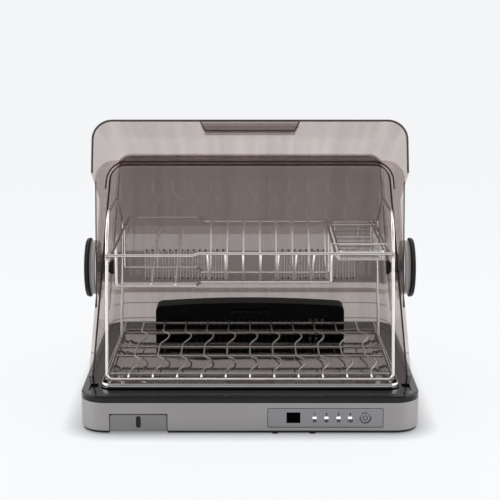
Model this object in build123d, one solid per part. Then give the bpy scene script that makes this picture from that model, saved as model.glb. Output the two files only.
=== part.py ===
"""Counter-top dish dryer with a smoked swing-up cover, wire racks, a hot-air blower and a drip drawer.

Frame: origin on the table under the middle of the base, +X to the user's right, +Y to the back, +Z up.
The cover stands open, as it does while the racks are being filled.
"""
from build123d import *
import math
import os

# Driving dimensions, in millimetres and degrees

# Base
BASE_W = 490.0
BASE_D = 428.0
BASE_CORNER_R = 38.0
FOOT_H = 2.0
PAN_T = 4.0
PAN_INSET = 2.0
PAN_LIP_H = 8.0
PAN_LIP_T = 2.0
AIR_SLOT_COUNT = 10
AIR_SLOT_PITCH = 20.0
AIR_SLOT_W = 6.0
AIR_SLOT_L = 30.0
BAND_H = 41.0
BAND_T = 0.8
DECK_H = 10.0
DECK_TOP_T = 3.0
DECK_SKIN = 4.0
DECK_EDGE_R = 2.5
NOTCH_W = 12.0
NOTCH_INSET = (30.0, 62.0)
NOTCH_H = 3.0

# Fits, and spare length of the cutting tools
FIT = 0.3
RUN_FIT = 0.05
PRESS_FIT = 0.01
SNUG = 0.1
TOUCH = 0.08
CUT = 1.0
OVERCUT = 20.0
FAR = 600.0

# Feet, posts and screws
FOOT_R = 9.0
FOOT_INSET = 45.0
NUB_R = 5.0
NUB_X = (36.0, 90.0)
NUB_INSET = 8.0
POST_R = 6.5
POST_INSET_X = 30.0
POST_INSET_Y = 28.0
SCREW_R = 1.8
SCREW_HEAD_R = 3.6
SCREW_HEAD_H = 1.6
SCREW_L = 16.0

# Cord inlet
GLAND_INSET = 95.0
GLAND_Z = 28.0
GLAND_R = 6.0
GLAND_WALL = 2.4
GLAND_L = 8.0
GLAND_FLANGE = 4.0
GLAND_FLANGE_BACK = 4.0

# Drain tray
TRAY_SIDE_INSET = 28.0
TRAY_FRONT_INSET = 28.0
TRAY_REAR_INSET = 57.0
TRAY_FLANGE = 11.0
TRAY_T = 1.2
TRAY_DEPTH = 12.0
TRAY_CORNER_R = 18.0
TRAY_SINK = 4.0
DRAIN_R = 5.0
DRAIN_BACK = 85.0

# Drip drawer
DRAWER_INSET = 85.0
DRAWER_W = 81.0
DRAWER_Z = 5.0
DRAWER_H = 24.7
DRAWER_FRONT_T = 1.8
DRAWER_GAP = 1.2
DRAWER_CORNER_R = 3.0
MOUTH_D = 8.0
BIN_L = 130.0
BIN_DROP = 2.0
BIN_WALL = 2.0
BIN_SIDE_GAP = 3.5
PULL_W = 7.0
PULL_H = 17.4
PULL_LIFT = 1.5
PULL_WALL = 1.0
PULL_DEPTH = 1.2
GUIDE_T = 2.0
GUIDE_H = 10.0
GUIDE_START = 10.0

# Control panel
PANEL_INSET = 137.0
PANEL_Z = 25.0
PANEL_W = 166.0
PANEL_H = 28.5
PANEL_T = 2.1
PANEL_FLANGE = 3.0
PANEL_SINK = 0.4
PANEL_CLEAR = 3.0
DISPLAY_SHIFT = -45.8
DISPLAY_W = 19.7
DISPLAY_H = 15.8
LAMP_SHIFTS = (-15.5, 1.5, 18.8, 35.3)
LAMP_W = 5.7
LAMP_H = 2.9
BUTTON_SHIFT = 57.1
BUTTON_R = 8.4
BUTTON_TRAVEL = 1.0
BUTTON_L = 3.4
BUTTON_EDGE = 0.5
STEM_R = 2.2
SWITCH_W = 6.0
SWITCH_L = 2.6
PLUNGER_R = 1.6
PLUNGER_L = 4.0
BOARD_T = 1.6
BOARD_W = 150.0
BOARD_H = 24.0
BOARD_SHIFT = 4.0
STANDOFF_L = 8.0
STANDOFF_R = 3.0
STANDOFF_INSET = (12.0, 6.0)

# Blower tower
TOWER_W = 318.0
TOWER_INSET = 52.0
TOWER_D = 40.0
TOWER_H = 45.0
TOWER_CROWN = 6.0
TOWER_WALL = 2.5
TOWER_CORNER_R = 10.0
FAN_BACK = 23.0
SLOT_COUNT = 27
SLOT_PITCH = 10.2
SLOT_W = 4.4
SLOT_H = 12.0
SLOT_Z = 68.0
WINDOW_COUNT = 6
WINDOW_PITCH = 11.4
WINDOW_W = 7.6
WINDOW_H = 9.0
WINDOW_Z = 87.0
FAN_R = 12.5
FAN_L = 180.0
BLADE_COUNT = 12
FAN_DISC_T = 2.0
BLADE_T = 1.0
BLADE_DEPTH = 4.5
BLADE_INSET = 0.5
SHAFT_R = 2.5
FAN_Z = 80.0
MOTOR_R = 13.0
MOTOR_L = 34.0
MOTOR_GAP = 5.0
MOTOR_BORE_L = 12.0
MOTOR_FOOT_INSET = 4.0
MOTOR_FOOT_D = 20.0
SHAFT_END = 2.0
BEARING_GAP = 5.0
BEARING_L = 8.0
BEARING_W = 16.0
HEATER_T = 4.5
HEATER_H = 30.0
HEATER_OVER = 5.0
HEATER_GAP = 2.0
GROOVE_COUNT = 12
GROOVE_W = 10.0
GROOVE_DEPTH = 1.2
GROOVE_FOOT = 6.0
GROOVE_HEAD = 3.0

# Covers and hinge
PIVOT_Z = 199.0
SHELL_T = 3.0
SHELL_SIDE_INSET = 8.5
SHELL_DRAFT = 5.4
SHELL_TOP = 372.0
SHELL_BACK_INSET = 28.0
SHELL_BACK_STRAIGHT = 212.0
SHELL_EDGE_INSET = 97.0
SHELL_EDGE_LEAN = 42.0
SHELL_EDGE_R = 24.0
SHELL_FLANGE = 4.5
FLANGE_DOOR_GAP = 1.5
SKIRT_BACK_INSET = 8.0
SKIRT_TOP = 118.0
SKIRT_CORNER_R = 36.0
SHELL_RIB_Y = 48.0
SHELL_RIB_H = 3.0
RIB_ROOT = 0.5
VENT_COUNT = 14
VENT_PITCH = 9.95
VENT_W = 5.8
VENT_H = 51.0
VENT_X = 110.0
VENT_Z = 164.0
DOOR_SIDE_INSET = 11.0
DOOR_FRONT_INSET = 14.0
DOOR_BOTTOM = 57.6
DOOR_TOP_GAP = 15.0
DOOR_BEND_R = 130.0
DOOR_BEND_END = 97.0
DOOR_EDGE_R = 30.0
DOOR_EAR_R = 50.0
DOOR_EAR_ANGLES = (28.0, -40.0, -112.0)
DOOR_KNEE_DROP = 19.0
DOOR_EDGE_GAP = 3.0
DOOR_OPEN = 110.7
GRIP_W = 152.0
GRIP_INNER_W = 134.0
GRIP_DEPTH = 18.0
GRIP_H = 24.0
GRIP_WALL = 2.5
PIN_R = 8.0
PIN_NUT_R = 11.0
PIN_NUT_L = 5.0
PIN_END_GAP = 2.0
BOSS_R = 24.0
BOSS_SINK = 3.0
BOSS_FACE_GAP = 1.8
WASHER_R = 20.0
HUB_R = 42.0
HUB_L = 12.0
CAP_R = 46.0
CAP_L = 8.0
CAP_EDGE_R = 2.5

# Lower rack
RAIL_D = 4.4
THIN_D = 2.4
RACK_Z = 70.0
RACK_SIDE_INSET = 9.0
RACK_FRONT_INSET = 13.0
RACK_REAR_INSET = 7.0
HOOP_TOP = 313.0
HOOP_LEAN = 5.0
HOOP_SHOULDER_SHARE = 0.5934
HOOP_REAR_INSET = 82.0
HOOP_REAR_Z = 266.0
CROSS_SHARES = (0.084, 0.378, 0.536, 0.802)
WAVE_COUNT = 11
WAVE_SIDE = 31.0
WAVE_BULGE = 12.0
WAVE_RISE = 3.0
WAVE_SHARES = ((0.105, 0.337), (0.563, 0.783))
LEG_SHARES = (0.195, 0.876)
HOOP_BENDS = (14.0, 90.0, 38.0, 8.0)
HOOK_REACH = 4.0
HOOK_SIDE_REACH = 3.0
WIRE_END = 1.0

# Upper rack
UPPER_D = 4.0
UPPER_Z = 258.0
UPPER_LEFT_Z = 255.0
UPPER_FRONT_OVER = 7.0
UPPER_REAR_OVER = 7.0
UPPER_LEFT_DEEPER = 55.0
UPPER_END_INSET = 2.0
UPPER_SIDE_INSET = 10.0
UPPER_LEFT_W = 124.0
UPPER_JOG = 8.0
UPPER_BEND_R = 6.0
LOW_BEND_R = 3.5
LOW_RAIL_Z = 193.0
LOW_LEFT_SHARES = (0.298, 0.8157)
LOW_MID_SHARES = (0.4, 0.6706)
DIVIDER_COUNT = 8
DIVIDER_START = 13.0
DIVIDER_END = 4.5
DIVIDER_KNEE_BACK = 39.0
DIVIDER_KNEE_DROP = 3.0
WIRE_SEAT = 4.0
HAIRPIN_INSETS = (52.0, 87.5)
HAIRPIN_Z = 246.0
HAIRPIN_BACKS = (80.0, 32.0)
BASKET_BAY_W = 76.0

# Cutlery basket
BASKET_D = 3.0
BASKET_WIRE_D = 1.8
BASKET_GAP = 6.0
BASKET_END_GAPS = (10.0, 9.0)
BASKET_DEEP_Z = 212.0
BASKET_SHALLOW_Z = 247.0
BASKET_RIB_COUNT = 10
BASKET_REAR_COUNT = 8
BASKET_CORNER_R = 8.0
BASKET_RIB_ENDS = (6.0, 12.0)
BASKET_FLOOR_SHARES = (0.2, 0.5, 0.8)
BASKET_BACK_SHARES = (0.12, 0.7)
BASKET_WIRE_START = 2.0
CARRIER_INSET = 40.0
CARRIER_REACH = 2.0

# Levels and places that follow from the driving dimensions
Z_PAN = FOOT_H
Z_BAND = Z_PAN + PAN_T
Z_DECK = Z_BAND + BAND_H
Z_TOP = Z_DECK + DECK_H
FRONT_Y = -BASE_D / 2
BACK_Y = BASE_D / 2
TRAY_SEAT = Z_TOP - TRAY_SINK
TRAY_W = BASE_W - 2 * TRAY_SIDE_INSET
TRAY_FRONT = FRONT_Y + TRAY_FRONT_INSET
TRAY_REAR = BACK_Y - TRAY_REAR_INSET
GLAND_X = BASE_W / 2 - GLAND_INSET
DRAWER_X = DRAWER_INSET - BASE_W / 2
PANEL_X = BASE_W / 2 - PANEL_INSET
DISPLAY_X = PANEL_X + DISPLAY_SHIFT
LAMP_X = [PANEL_X + shift for shift in LAMP_SHIFTS]
BUTTON_X = PANEL_X + BUTTON_SHIFT
TOWER_FRONT = BACK_Y - TOWER_INSET
FAN_Y = TOWER_FRONT + FAN_BACK
HEATER_L = FAN_L + 2 * HEATER_OVER
SHELL_FOOT_W = BASE_W - 2 * SHELL_SIDE_INSET
SHELL_BACK = BACK_Y - SHELL_BACK_INSET
SHELL_EDGE_FOOT_Y = FRONT_Y + SHELL_EDGE_INSET
SHELL_EDGE_TOP_Y = SHELL_EDGE_FOOT_Y + SHELL_EDGE_LEAN
SKIRT_BACK = BACK_Y - SKIRT_BACK_INSET
DOOR_HALF = BASE_W / 2 - DOOR_SIDE_INSET
DOOR_FRONT = FRONT_Y + DOOR_FRONT_INSET
DOOR_STRAIGHT = SHELL_TOP + DOOR_TOP_GAP - DOOR_BEND_R
RACK_HALF = TRAY_W / 2 - RACK_SIDE_INSET
RACK_FRONT = TRAY_FRONT + RACK_FRONT_INSET
RACK_REAR = TRAY_REAR - RACK_REAR_INSET
WAVE_PITCH = 2 * (RACK_HALF - WAVE_SIDE) / (WAVE_COUNT - 1)
HOOP_REAR_Y = RACK_REAR - HOOP_REAR_INSET
HOOP_SHOULDER_Y = RACK_FRONT + HOOP_SHOULDER_SHARE * (HOOP_REAR_Y - RACK_FRONT)
UPPER_FRONT = RACK_FRONT - UPPER_FRONT_OVER
UPPER_REAR = HOOP_REAR_Y + UPPER_REAR_OVER
UPPER_LEFT_REAR = UPPER_REAR + UPPER_LEFT_DEEPER
UPPER_HALF = RACK_HALF - UPPER_END_INSET
UPPER_SIDE = RACK_HALF - UPPER_SIDE_INSET
UPPER_JOG_X = UPPER_LEFT_W - UPPER_SIDE
BASKET_RAIL_X = UPPER_SIDE - BASKET_BAY_W
BASKET_X = (BASKET_RAIL_X + BASKET_GAP, UPPER_SIDE - BASKET_GAP)
BASKET_Y = (UPPER_FRONT + BASKET_END_GAPS[0], UPPER_REAR - BASKET_END_GAPS[1])
DIVIDER_X = UPPER_JOG_X + DIVIDER_START
DIVIDER_PITCH = (BASKET_RAIL_X - DIVIDER_END - DIVIDER_X) / (DIVIDER_COUNT - 1)
SIDES = {"left": -1, "right": 1}


def plate(width, depth, radius, z0, z1, centre=(0.0, 0.0)):
    """Upright slab with a rounded rectangular outline, from z0 to z1."""
    outline = Pos(centre[0], centre[1], z0) * RectangleRounded(width, depth, radius)
    return extrude(outline, amount=z1 - z0, dir=(0, 0, 1))


def block(x, y, z):
    """Box between two limits on each axis."""
    size = (x[1] - x[0], y[1] - y[0], z[1] - z[0])
    return Pos((x[0] + x[1]) / 2, (y[0] + y[1]) / 2, (z[0] + z[1]) / 2) * Box(*size)


def rod(start, end, radius):
    """Round bar between two points."""
    a = Vector(*start)
    b = Vector(*end)
    return Solid.make_cylinder(radius, (b - a).length, Plane(origin=a, z_dir=(b - a).normalized()))


def bent_wire(points, diameter, radii):
    """Round wire along straight runs joined by bends."""
    path = FilletPolyline(*points, radius=radii)
    start = Plane(origin=path @ 0, z_dir=path % 0)
    return sweep(start * Circle(diameter / 2), path=path)


def kinked_wire(points, diameter):
    """Thin wire along straight runs with mitred bends, drawn with eight sides."""
    path = Polyline(*points)
    start = Plane(origin=path @ 0, z_dir=path % 0)
    return sweep(start * RegularPolygon(diameter / 2, 8), path=path, transition=Transition.RIGHT)


def thin_rod(start, end, diameter):
    """Straight thin wire between two points, drawn with eight sides."""
    a = Vector(*start)
    b = Vector(*end)
    section = Plane(origin=a, z_dir=b - a) * RegularPolygon(diameter / 2, 8)
    return extrude(section, amount=(b - a).length, dir=(b - a).normalized())


def side_prism(wire_edges, half):
    """Closed outline in the YZ plane, extruded to both sides of X = 0."""
    face = make_face(wire_edges)
    return extrude(face, amount=half, both=True)


def yz(y, z):
    """Point of the YZ plane."""
    return Vector(0, y, z)


def group(solids):
    """Several separate solids in one node."""
    return Compound(children=list(solids))


def between(start, end, shares):
    """Places at given shares of the way from a start to an end."""
    return [start + share * (end - start) for share in shares]


def row(count, pitch, centre=0.0):
    """Places of a row of equal steps about a centre."""
    return [centre + (index - (count - 1) / 2) * pitch for index in range(count)]


def bottom_pan():
    """Floor pan with a locating wall inside the band, drawer guides and air slots."""
    width = BASE_W - 2 * PAN_INSET
    depth = BASE_D - 2 * PAN_INSET
    pan = plate(width, depth, BASE_CORNER_R - PAN_INSET, Z_PAN, Z_BAND)
    lip_top = Z_BAND + PAN_LIP_H
    wall = BAND_T + FIT
    outer = plate(BASE_W - 2 * wall, BASE_D - 2 * wall, BASE_CORNER_R - wall, Z_BAND, lip_top)
    lip = wall + PAN_LIP_T
    inner = plate(BASE_W - 2 * lip, BASE_D - 2 * lip, BASE_CORNER_R - lip, Z_BAND, lip_top)
    pan += outer - inner
    front = (FRONT_Y, FRONT_Y + MOUTH_D)
    half = DRAWER_W / 2 + DRAWER_GAP
    pan -= block((DRAWER_X - half, DRAWER_X + half), front, (Z_PAN, lip_top))
    half = PANEL_W / 2 + PANEL_FLANGE + PANEL_CLEAR
    pan -= block((PANEL_X - half, PANEL_X + half), front, (Z_BAND, lip_top))
    guide_y = (FRONT_Y + GUIDE_START, FRONT_Y + BIN_L)
    bin_half = DRAWER_W / 2 - BIN_SIDE_GAP + FIT
    for side in SIDES.values():
        edge = DRAWER_X + side * bin_half
        pan += block(sorted((edge, edge + side * GUIDE_T)), guide_y, (Z_BAND, Z_BAND + GUIDE_H))
    slot_y = (FAN_Y - AIR_SLOT_L / 2, FAN_Y + AIR_SLOT_L / 2)
    for x in row(AIR_SLOT_COUNT, AIR_SLOT_PITCH):
        pan -= block((x - AIR_SLOT_W / 2, x + AIR_SLOT_W / 2), slot_y, (Z_PAN, Z_BAND))
    for x, y in post_places():
        pan -= Pos(x, y, Z_PAN) * Cylinder(SCREW_R + RUN_FIT, 3 * PAN_T)
        pan -= Pos(x, y, Z_PAN) * Cylinder(SCREW_HEAD_R + FIT, 2 * SCREW_HEAD_H)
    half = GLAND_R + GLAND_FLANGE + PAN_LIP_T
    return pan - block((GLAND_X - half, GLAND_X + half), (BACK_Y - GLAND_L, BACK_Y), (Z_BAND, lip_top))


def post_places():
    """Four corner posts that tie the deck to the pan."""
    x = BASE_W / 2 - POST_INSET_X
    y = BASE_D / 2 - POST_INSET_Y
    return [(-x, -y), (x, -y), (-x, y), (x, y)]


def pan_screws():
    """Pan-head screws from below into the posts."""
    screws = []
    for x, y in post_places():
        head = Pos(x, y, Z_PAN + SCREW_HEAD_H / 2) * Cylinder(SCREW_HEAD_R, SCREW_HEAD_H)
        stem = Pos(x, y, Z_PAN + SCREW_L / 2) * Cylinder(SCREW_R, SCREW_L)
        screws.append(head + stem)
    return group(screws)


def rubber_feet():
    """Four corner feet and two small pads under the front edge."""
    x = BASE_W / 2 - FOOT_INSET
    y = BASE_D / 2 - FOOT_INSET
    feet = []
    for sx in (-1, 1):
        for sy in (-1, 1):
            feet.append(Pos(sx * x, sy * y, FOOT_H / 2) * Cylinder(FOOT_R, FOOT_H))
    for nub in NUB_X:
        feet.append(Pos(nub, FRONT_Y + NUB_INSET, FOOT_H / 2) * Cylinder(NUB_R, FOOT_H))
    return group(feet)


def steel_band():
    """Brushed steel wrapper with the drawer mouth, the panel window and the cord hole."""
    outer = plate(BASE_W, BASE_D, BASE_CORNER_R, Z_BAND, Z_DECK)
    inner = plate(BASE_W - 2 * BAND_T, BASE_D - 2 * BAND_T, BASE_CORNER_R - BAND_T, Z_BAND, Z_DECK)
    band = outer - inner
    half = DRAWER_W / 2 + DRAWER_GAP
    top = DRAWER_Z + DRAWER_H + DRAWER_GAP
    reach = (FRONT_Y - CUT, FRONT_Y + MOUTH_D)
    band -= block((DRAWER_X - half, DRAWER_X + half), reach, (Z_BAND - CUT, top))
    window = (PANEL_X - PANEL_W / 2 - FIT, PANEL_X + PANEL_W / 2 + FIT)
    band -= block(window, reach, (PANEL_Z - PANEL_H / 2 - FIT, PANEL_Z + PANEL_H / 2 + FIT))
    return band - gland_rod(GLAND_L, -CUT, GLAND_R + RUN_FIT)


def gland_rod(inner, outer, radius):
    """Round bar on the gland's axis between two depths behind the back of the band."""
    return rod((GLAND_X, BACK_Y - inner, GLAND_Z), (GLAND_X, BACK_Y - outer, GLAND_Z), radius)


def cord_gland():
    """Inlet bush in the back of the band, flush outside, with a flange inside."""
    nose = gland_rod(GLAND_L, 0, GLAND_R)
    flange = gland_rod(GLAND_FLANGE_BACK, BAND_T + SNUG, GLAND_R + GLAND_FLANGE)
    return nose + flange - gland_rod(GLAND_L + CUT, -CUT, GLAND_R - GLAND_WALL)


def top_deck():
    """Black rim and deck: hollow below, stepped to seat the tray, with posts down to the pan."""
    deck = plate(BASE_W, BASE_D, BASE_CORNER_R, Z_DECK, Z_TOP)
    deck = fillet(deck.faces().sort_by(Axis.Z)[-1].edges(), DECK_EDGE_R)
    centre = (0.0, (TRAY_FRONT + TRAY_REAR) / 2)
    length = TRAY_REAR - TRAY_FRONT
    seat = plate(TRAY_W + 2 * FIT, length + 2 * FIT, TRAY_CORNER_R + FIT, TRAY_SEAT, Z_TOP + CUT, centre)
    throat_w = TRAY_W - 2 * TRAY_FLANGE + 2 * FIT
    throat_l = length - 2 * TRAY_FLANGE + 2 * FIT
    throat_r = TRAY_CORNER_R - TRAY_FLANGE + FIT
    throat = plate(throat_w, throat_l, throat_r, Z_DECK - CUT, Z_TOP, centre)
    roof = TRAY_SEAT - DECK_TOP_T
    skin = DECK_SKIN
    hollow = plate(BASE_W - 2 * skin, BASE_D - 2 * skin, BASE_CORNER_R - skin, Z_DECK, roof)
    core = plate(throat_w + 2 * skin, throat_l + 2 * skin, throat_r + skin, Z_DECK, roof, centre)
    deck = deck - seat - (hollow - core) - throat
    for x, y in post_places():
        deck += Pos(x, y, (Z_BAND + roof) / 2) * Cylinder(POST_R, roof - Z_BAND)
        deck -= Pos(x, y, Z_BAND) * Cylinder(SCREW_R + RUN_FIT, 2 * SCREW_L)
    for side in SIDES.values():
        near = side * (DOOR_HALF - NOTCH_W)
        far = side * DOOR_HALF
        notch_y = (FRONT_Y + NOTCH_INSET[0], FRONT_Y + NOTCH_INSET[1])
        deck -= block(sorted((near, far)), notch_y, (Z_TOP - NOTCH_H, Z_TOP + CUT))
    return deck


def drain_tray():
    """Pressed stainless tray: flat flange, short walls and a drain hole over the drawer."""
    centre = (0.0, (TRAY_FRONT + TRAY_REAR) / 2)
    length = TRAY_REAR - TRAY_FRONT
    top = TRAY_SEAT + TRAY_T
    floor = top - TRAY_DEPTH
    basin_w = TRAY_W - 2 * TRAY_FLANGE
    basin_l = length - 2 * TRAY_FLANGE
    basin_r = TRAY_CORNER_R - TRAY_FLANGE
    flange = plate(TRAY_W, length, TRAY_CORNER_R, TRAY_SEAT, top, centre)
    basin = plate(basin_w, basin_l, basin_r, floor, top, centre)
    inner_w = basin_w - 2 * TRAY_T
    inner_l = basin_l - 2 * TRAY_T
    hollow = plate(inner_w, inner_l, basin_r - TRAY_T, floor + TRAY_T, top + CUT, centre)
    drain = Pos(DRAWER_X, FRONT_Y + DRAIN_BACK, floor) * Cylinder(DRAIN_R, 4 * TRAY_T)
    return flange + basin - hollow - drain


def drawer_front():
    """Brushed steel drawer face with a pill-shaped hole for the pull."""
    half = DRAWER_W / 2
    face = block(
        (DRAWER_X - half, DRAWER_X + half),
        (FRONT_Y, FRONT_Y + DRAWER_FRONT_T),
        (DRAWER_Z, DRAWER_Z + DRAWER_H),
    )
    face = fillet(face.edges().filter_by(Axis.Y).group_by(Axis.Z)[-1], DRAWER_CORNER_R)
    return face - pill(PULL_W / 2 + RUN_FIT, FRONT_Y - CUT, FRONT_Y + DRAWER_FRONT_T + CUT)


def pill(radius, y0, y1):
    """Upright pill along Y at the pull's place."""
    z = DRAWER_Z + DRAWER_H / 2 + PULL_LIFT
    reach = PULL_H / 2 - PULL_W / 2
    low = rod((DRAWER_X, y0, z - reach), (DRAWER_X, y1, z - reach), radius)
    high = rod((DRAWER_X, y0, z + reach), (DRAWER_X, y1, z + reach), radius)
    return low + high + block((DRAWER_X - radius, DRAWER_X + radius), (y0, y1), (z - reach, z + reach))


def drawer_pull():
    """Black finger cup set into the drawer face."""
    cup = pill(PULL_W / 2, FRONT_Y, FRONT_Y + DRAWER_FRONT_T)
    return cup - pill(PULL_W / 2 - PULL_WALL, FRONT_Y - CUT, FRONT_Y + PULL_DEPTH)


def drawer_bin():
    """Open drip bin behind the drawer face."""
    half = DRAWER_W / 2 - BIN_SIDE_GAP
    x = (DRAWER_X - half, DRAWER_X + half)
    front = FRONT_Y + DRAWER_FRONT_T
    y = (front, front + BIN_L)
    z = (Z_BAND + FIT, DRAWER_Z + DRAWER_H - BIN_DROP)
    wall = BIN_WALL
    hollow = block((x[0] + wall, x[1] - wall), (y[0] + wall, y[1] - wall), (z[0] + wall, z[1] + CUT))
    return block(x, y, z) - hollow


def panel_plate():
    """Control panel: a plate in the band's window, a flange behind it and two standoffs."""
    x = (PANEL_X - PANEL_W / 2, PANEL_X + PANEL_W / 2)
    z = (PANEL_Z - PANEL_H / 2, PANEL_Z + PANEL_H / 2)
    face = FRONT_Y + PANEL_SINK
    back = face + PANEL_T
    grow = PANEL_FLANGE
    body = block(x, (face, back), z)
    body += block((x[0] - grow, x[1] + grow), (FRONT_Y + BAND_T + SNUG, back), (z[0] - grow, z[1] + grow))
    for post in (x[0] + STANDOFF_INSET[0], x[1] - STANDOFF_INSET[1]):
        body += rod((post, back - SNUG, PANEL_Z), (post, back + STANDOFF_L, PANEL_Z), STANDOFF_R)
    body -= window_block(DISPLAY_X, DISPLAY_W, DISPLAY_H, RUN_FIT)
    for lamp in LAMP_X:
        body -= window_block(lamp, LAMP_W, LAMP_H, RUN_FIT)
    return body - button_rod(face - CUT, back + CUT, BUTTON_R + FIT)


def button_rod(y0, y1, radius):
    """Round bar on the button's axis."""
    return rod((BUTTON_X, y0, PANEL_Z), (BUTTON_X, y1, PANEL_Z), radius)


def window_block(x, width, height, gap):
    """Block through the panel plate at a window, grown by a gap."""
    face = FRONT_Y + PANEL_SINK
    half_w = width / 2 + gap
    half_h = height / 2 + gap
    return block((x - half_w, x + half_w), (face, face + PANEL_T), (PANEL_Z - half_h, PANEL_Z + half_h))


def start_button():
    """Round push button with a stem towards the switch."""
    cap = button_rod(FRONT_Y, FRONT_Y + BUTTON_L, BUTTON_R)
    cap = chamfer(cap.faces().sort_by(Axis.Y)[0].edges(), BUTTON_EDGE)
    return cap + button_rod(FRONT_Y + BUTTON_L - SNUG, switch_tip() - BUTTON_TRAVEL - FIT, STEM_R)


def board_face():
    """Front face of the circuit board."""
    return FRONT_Y + PANEL_SINK + PANEL_T + STANDOFF_L


def switch_tip():
    """Front end of the switch plunger."""
    return board_face() - PLUNGER_L


def circuit_board():
    """Board behind the panel with its press switch."""
    y = board_face()
    centre = PANEL_X + BOARD_SHIFT
    x = (centre - BOARD_W / 2, centre + BOARD_W / 2)
    board = block(x, (y, y + BOARD_T), (PANEL_Z - BOARD_H / 2, PANEL_Z + BOARD_H / 2))
    half = SWITCH_W / 2
    sides = (BUTTON_X - half, BUTTON_X + half)
    body = block(sides, (y - SWITCH_L, y + SNUG), (PANEL_Z - half, PANEL_Z + half))
    return board + body + button_rod(switch_tip(), y - SWITCH_L + SNUG, PLUNGER_R)


def tower_outline(inset):
    """Upright outline of the blower tower in XZ: straight foot and sides, crowned top."""
    half = TOWER_W / 2 - inset
    side = Z_TOP + TOWER_H - TOWER_CROWN - inset
    foot_left = Vector(-half, 0, Z_TOP)
    foot_right = Vector(half, 0, Z_TOP)
    top_left = Vector(-half, 0, side)
    top_right = Vector(half, 0, side)
    crown = Vector(0, 0, Z_TOP + TOWER_H - inset)
    edges = [Line(foot_left, foot_right), Line(foot_right, top_right)]
    edges.append(ThreePointArc(top_right, crown, top_left))
    edges.append(Line(top_left, foot_left))
    return make_face(edges)


def tower_shell():
    """Hot-air outlet tower with a row of slots and a row of small windows in front."""
    outer = extrude(tower_outline(0), amount=TOWER_D, dir=(0, 1, 0))
    outer = fillet(outer.edges().filter_by(Axis.Y).group_by(Axis.Z)[-1], TOWER_CORNER_R)
    inner = extrude(tower_outline(TOWER_WALL), amount=TOWER_D - 2 * TOWER_WALL, dir=(0, 1, 0))
    inner = fillet(inner.edges().filter_by(Axis.Y).group_by(Axis.Z)[-1], TOWER_CORNER_R - TOWER_WALL)
    tower = Pos(0, TOWER_FRONT, 0) * outer - Pos(0, TOWER_FRONT + TOWER_WALL, 0) * inner
    reach = (TOWER_FRONT - CUT, TOWER_FRONT + TOWER_WALL + CUT)
    slot_z = (SLOT_Z - SLOT_H / 2, SLOT_Z + SLOT_H / 2)
    window_z = (WINDOW_Z - WINDOW_H / 2, WINDOW_Z + WINDOW_H / 2)
    cuts = []
    for x in row(SLOT_COUNT, SLOT_PITCH):
        cuts.append(block((x - SLOT_W / 2, x + SLOT_W / 2), reach, slot_z))
    for x in row(WINDOW_COUNT, WINDOW_PITCH):
        cuts.append(block((x - WINDOW_W / 2, x + WINDOW_W / 2), reach, window_z))
    return tower - cuts


def fan_rod(x0, x1, radius):
    """Round bar on the fan's axis."""
    return rod((x0, FAN_Y, FAN_Z), (x1, FAN_Y, FAN_Z), radius)


def fan_motor():
    """Motor on a foot, with the bearing bore for the fan shaft."""
    start = FAN_L / 2 + MOTOR_GAP
    foot_x = (start + MOTOR_FOOT_INSET, start + MOTOR_L - MOTOR_FOOT_INSET)
    foot_y = (FAN_Y - MOTOR_FOOT_D / 2, FAN_Y + MOTOR_FOOT_D / 2)
    motor = fan_rod(start, start + MOTOR_L, MOTOR_R) + block(foot_x, foot_y, (Z_TOP, FAN_Z - MOTOR_R / 2))
    return motor - fan_rod(start - CUT, start + MOTOR_BORE_L, SHAFT_R + RUN_FIT)


def fan_bearing():
    """Pillow block at the far end of the fan shaft."""
    start = bearing_start()
    half = BEARING_W / 2
    body = block((start, start + BEARING_L), (FAN_Y - half, FAN_Y + half), (Z_TOP, FAN_Z + half))
    return body - fan_rod(start - CUT, start + BEARING_L + CUT, SHAFT_R + RUN_FIT)


def bearing_start():
    """Outer face of the pillow block."""
    return -FAN_L / 2 - BEARING_GAP - BEARING_L


def fan_shaft():
    """Steel shaft between the bearing and the motor."""
    return fan_rod(bearing_start(), FAN_L / 2 + MOTOR_GAP + MOTOR_BORE_L - SHAFT_END, SHAFT_R)


def fan_impeller():
    """Cross-flow impeller: three discs and a ring of long blades."""
    wheel = fan_rod(-FAN_L / 2, -FAN_L / 2 + FAN_DISC_T, FAN_R)
    for x in (-FAN_DISC_T / 2, FAN_L / 2 - FAN_DISC_T):
        wheel += fan_rod(x, x + FAN_DISC_T, FAN_R)
    rim = FAN_R - BLADE_INSET
    blade = block((-FAN_L / 2, FAN_L / 2), (-BLADE_T / 2, BLADE_T / 2), (rim - BLADE_DEPTH, rim))
    for index in range(BLADE_COUNT):
        turn = Rot(360 / BLADE_COUNT * index, 0, 0)
        wheel += Pos(0, FAN_Y, FAN_Z) * turn * blade
    return wheel - fan_rod(-FAN_L, FAN_L, SHAFT_R + PRESS_FIT)


def heater_block():
    """Finned heater plate between the fan and the outlet slots."""
    face = TOWER_FRONT + TOWER_WALL + HEATER_GAP
    core = block((-HEATER_L / 2, HEATER_L / 2), (face, face + HEATER_T), (Z_TOP, Z_TOP + HEATER_H))
    groove_y = (face - CUT, face + GROOVE_DEPTH)
    groove_z = (Z_TOP + GROOVE_FOOT, Z_TOP + HEATER_H - GROOVE_HEAD)
    grooves = []
    for x in row(GROOVE_COUNT, HEATER_L / GROOVE_COUNT):
        grooves.append(block((x - GROOVE_W / 2, x + GROOVE_W / 2), groove_y, groove_z))
    return core - grooves


def shell_half(z):
    """Half width of the rear cover's outside at a height."""
    return SHELL_FOOT_W / 2 - (z - Z_TOP) * math.tan(math.radians(SHELL_DRAFT))


def edge_y(z):
    """Front edge of the rear cover at a height, seen from the side."""
    share = (z - Z_TOP) / (SHELL_TOP - Z_TOP)
    return SHELL_EDGE_FOOT_Y + share * (SHELL_EDGE_TOP_Y - SHELL_EDGE_FOOT_Y)


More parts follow.
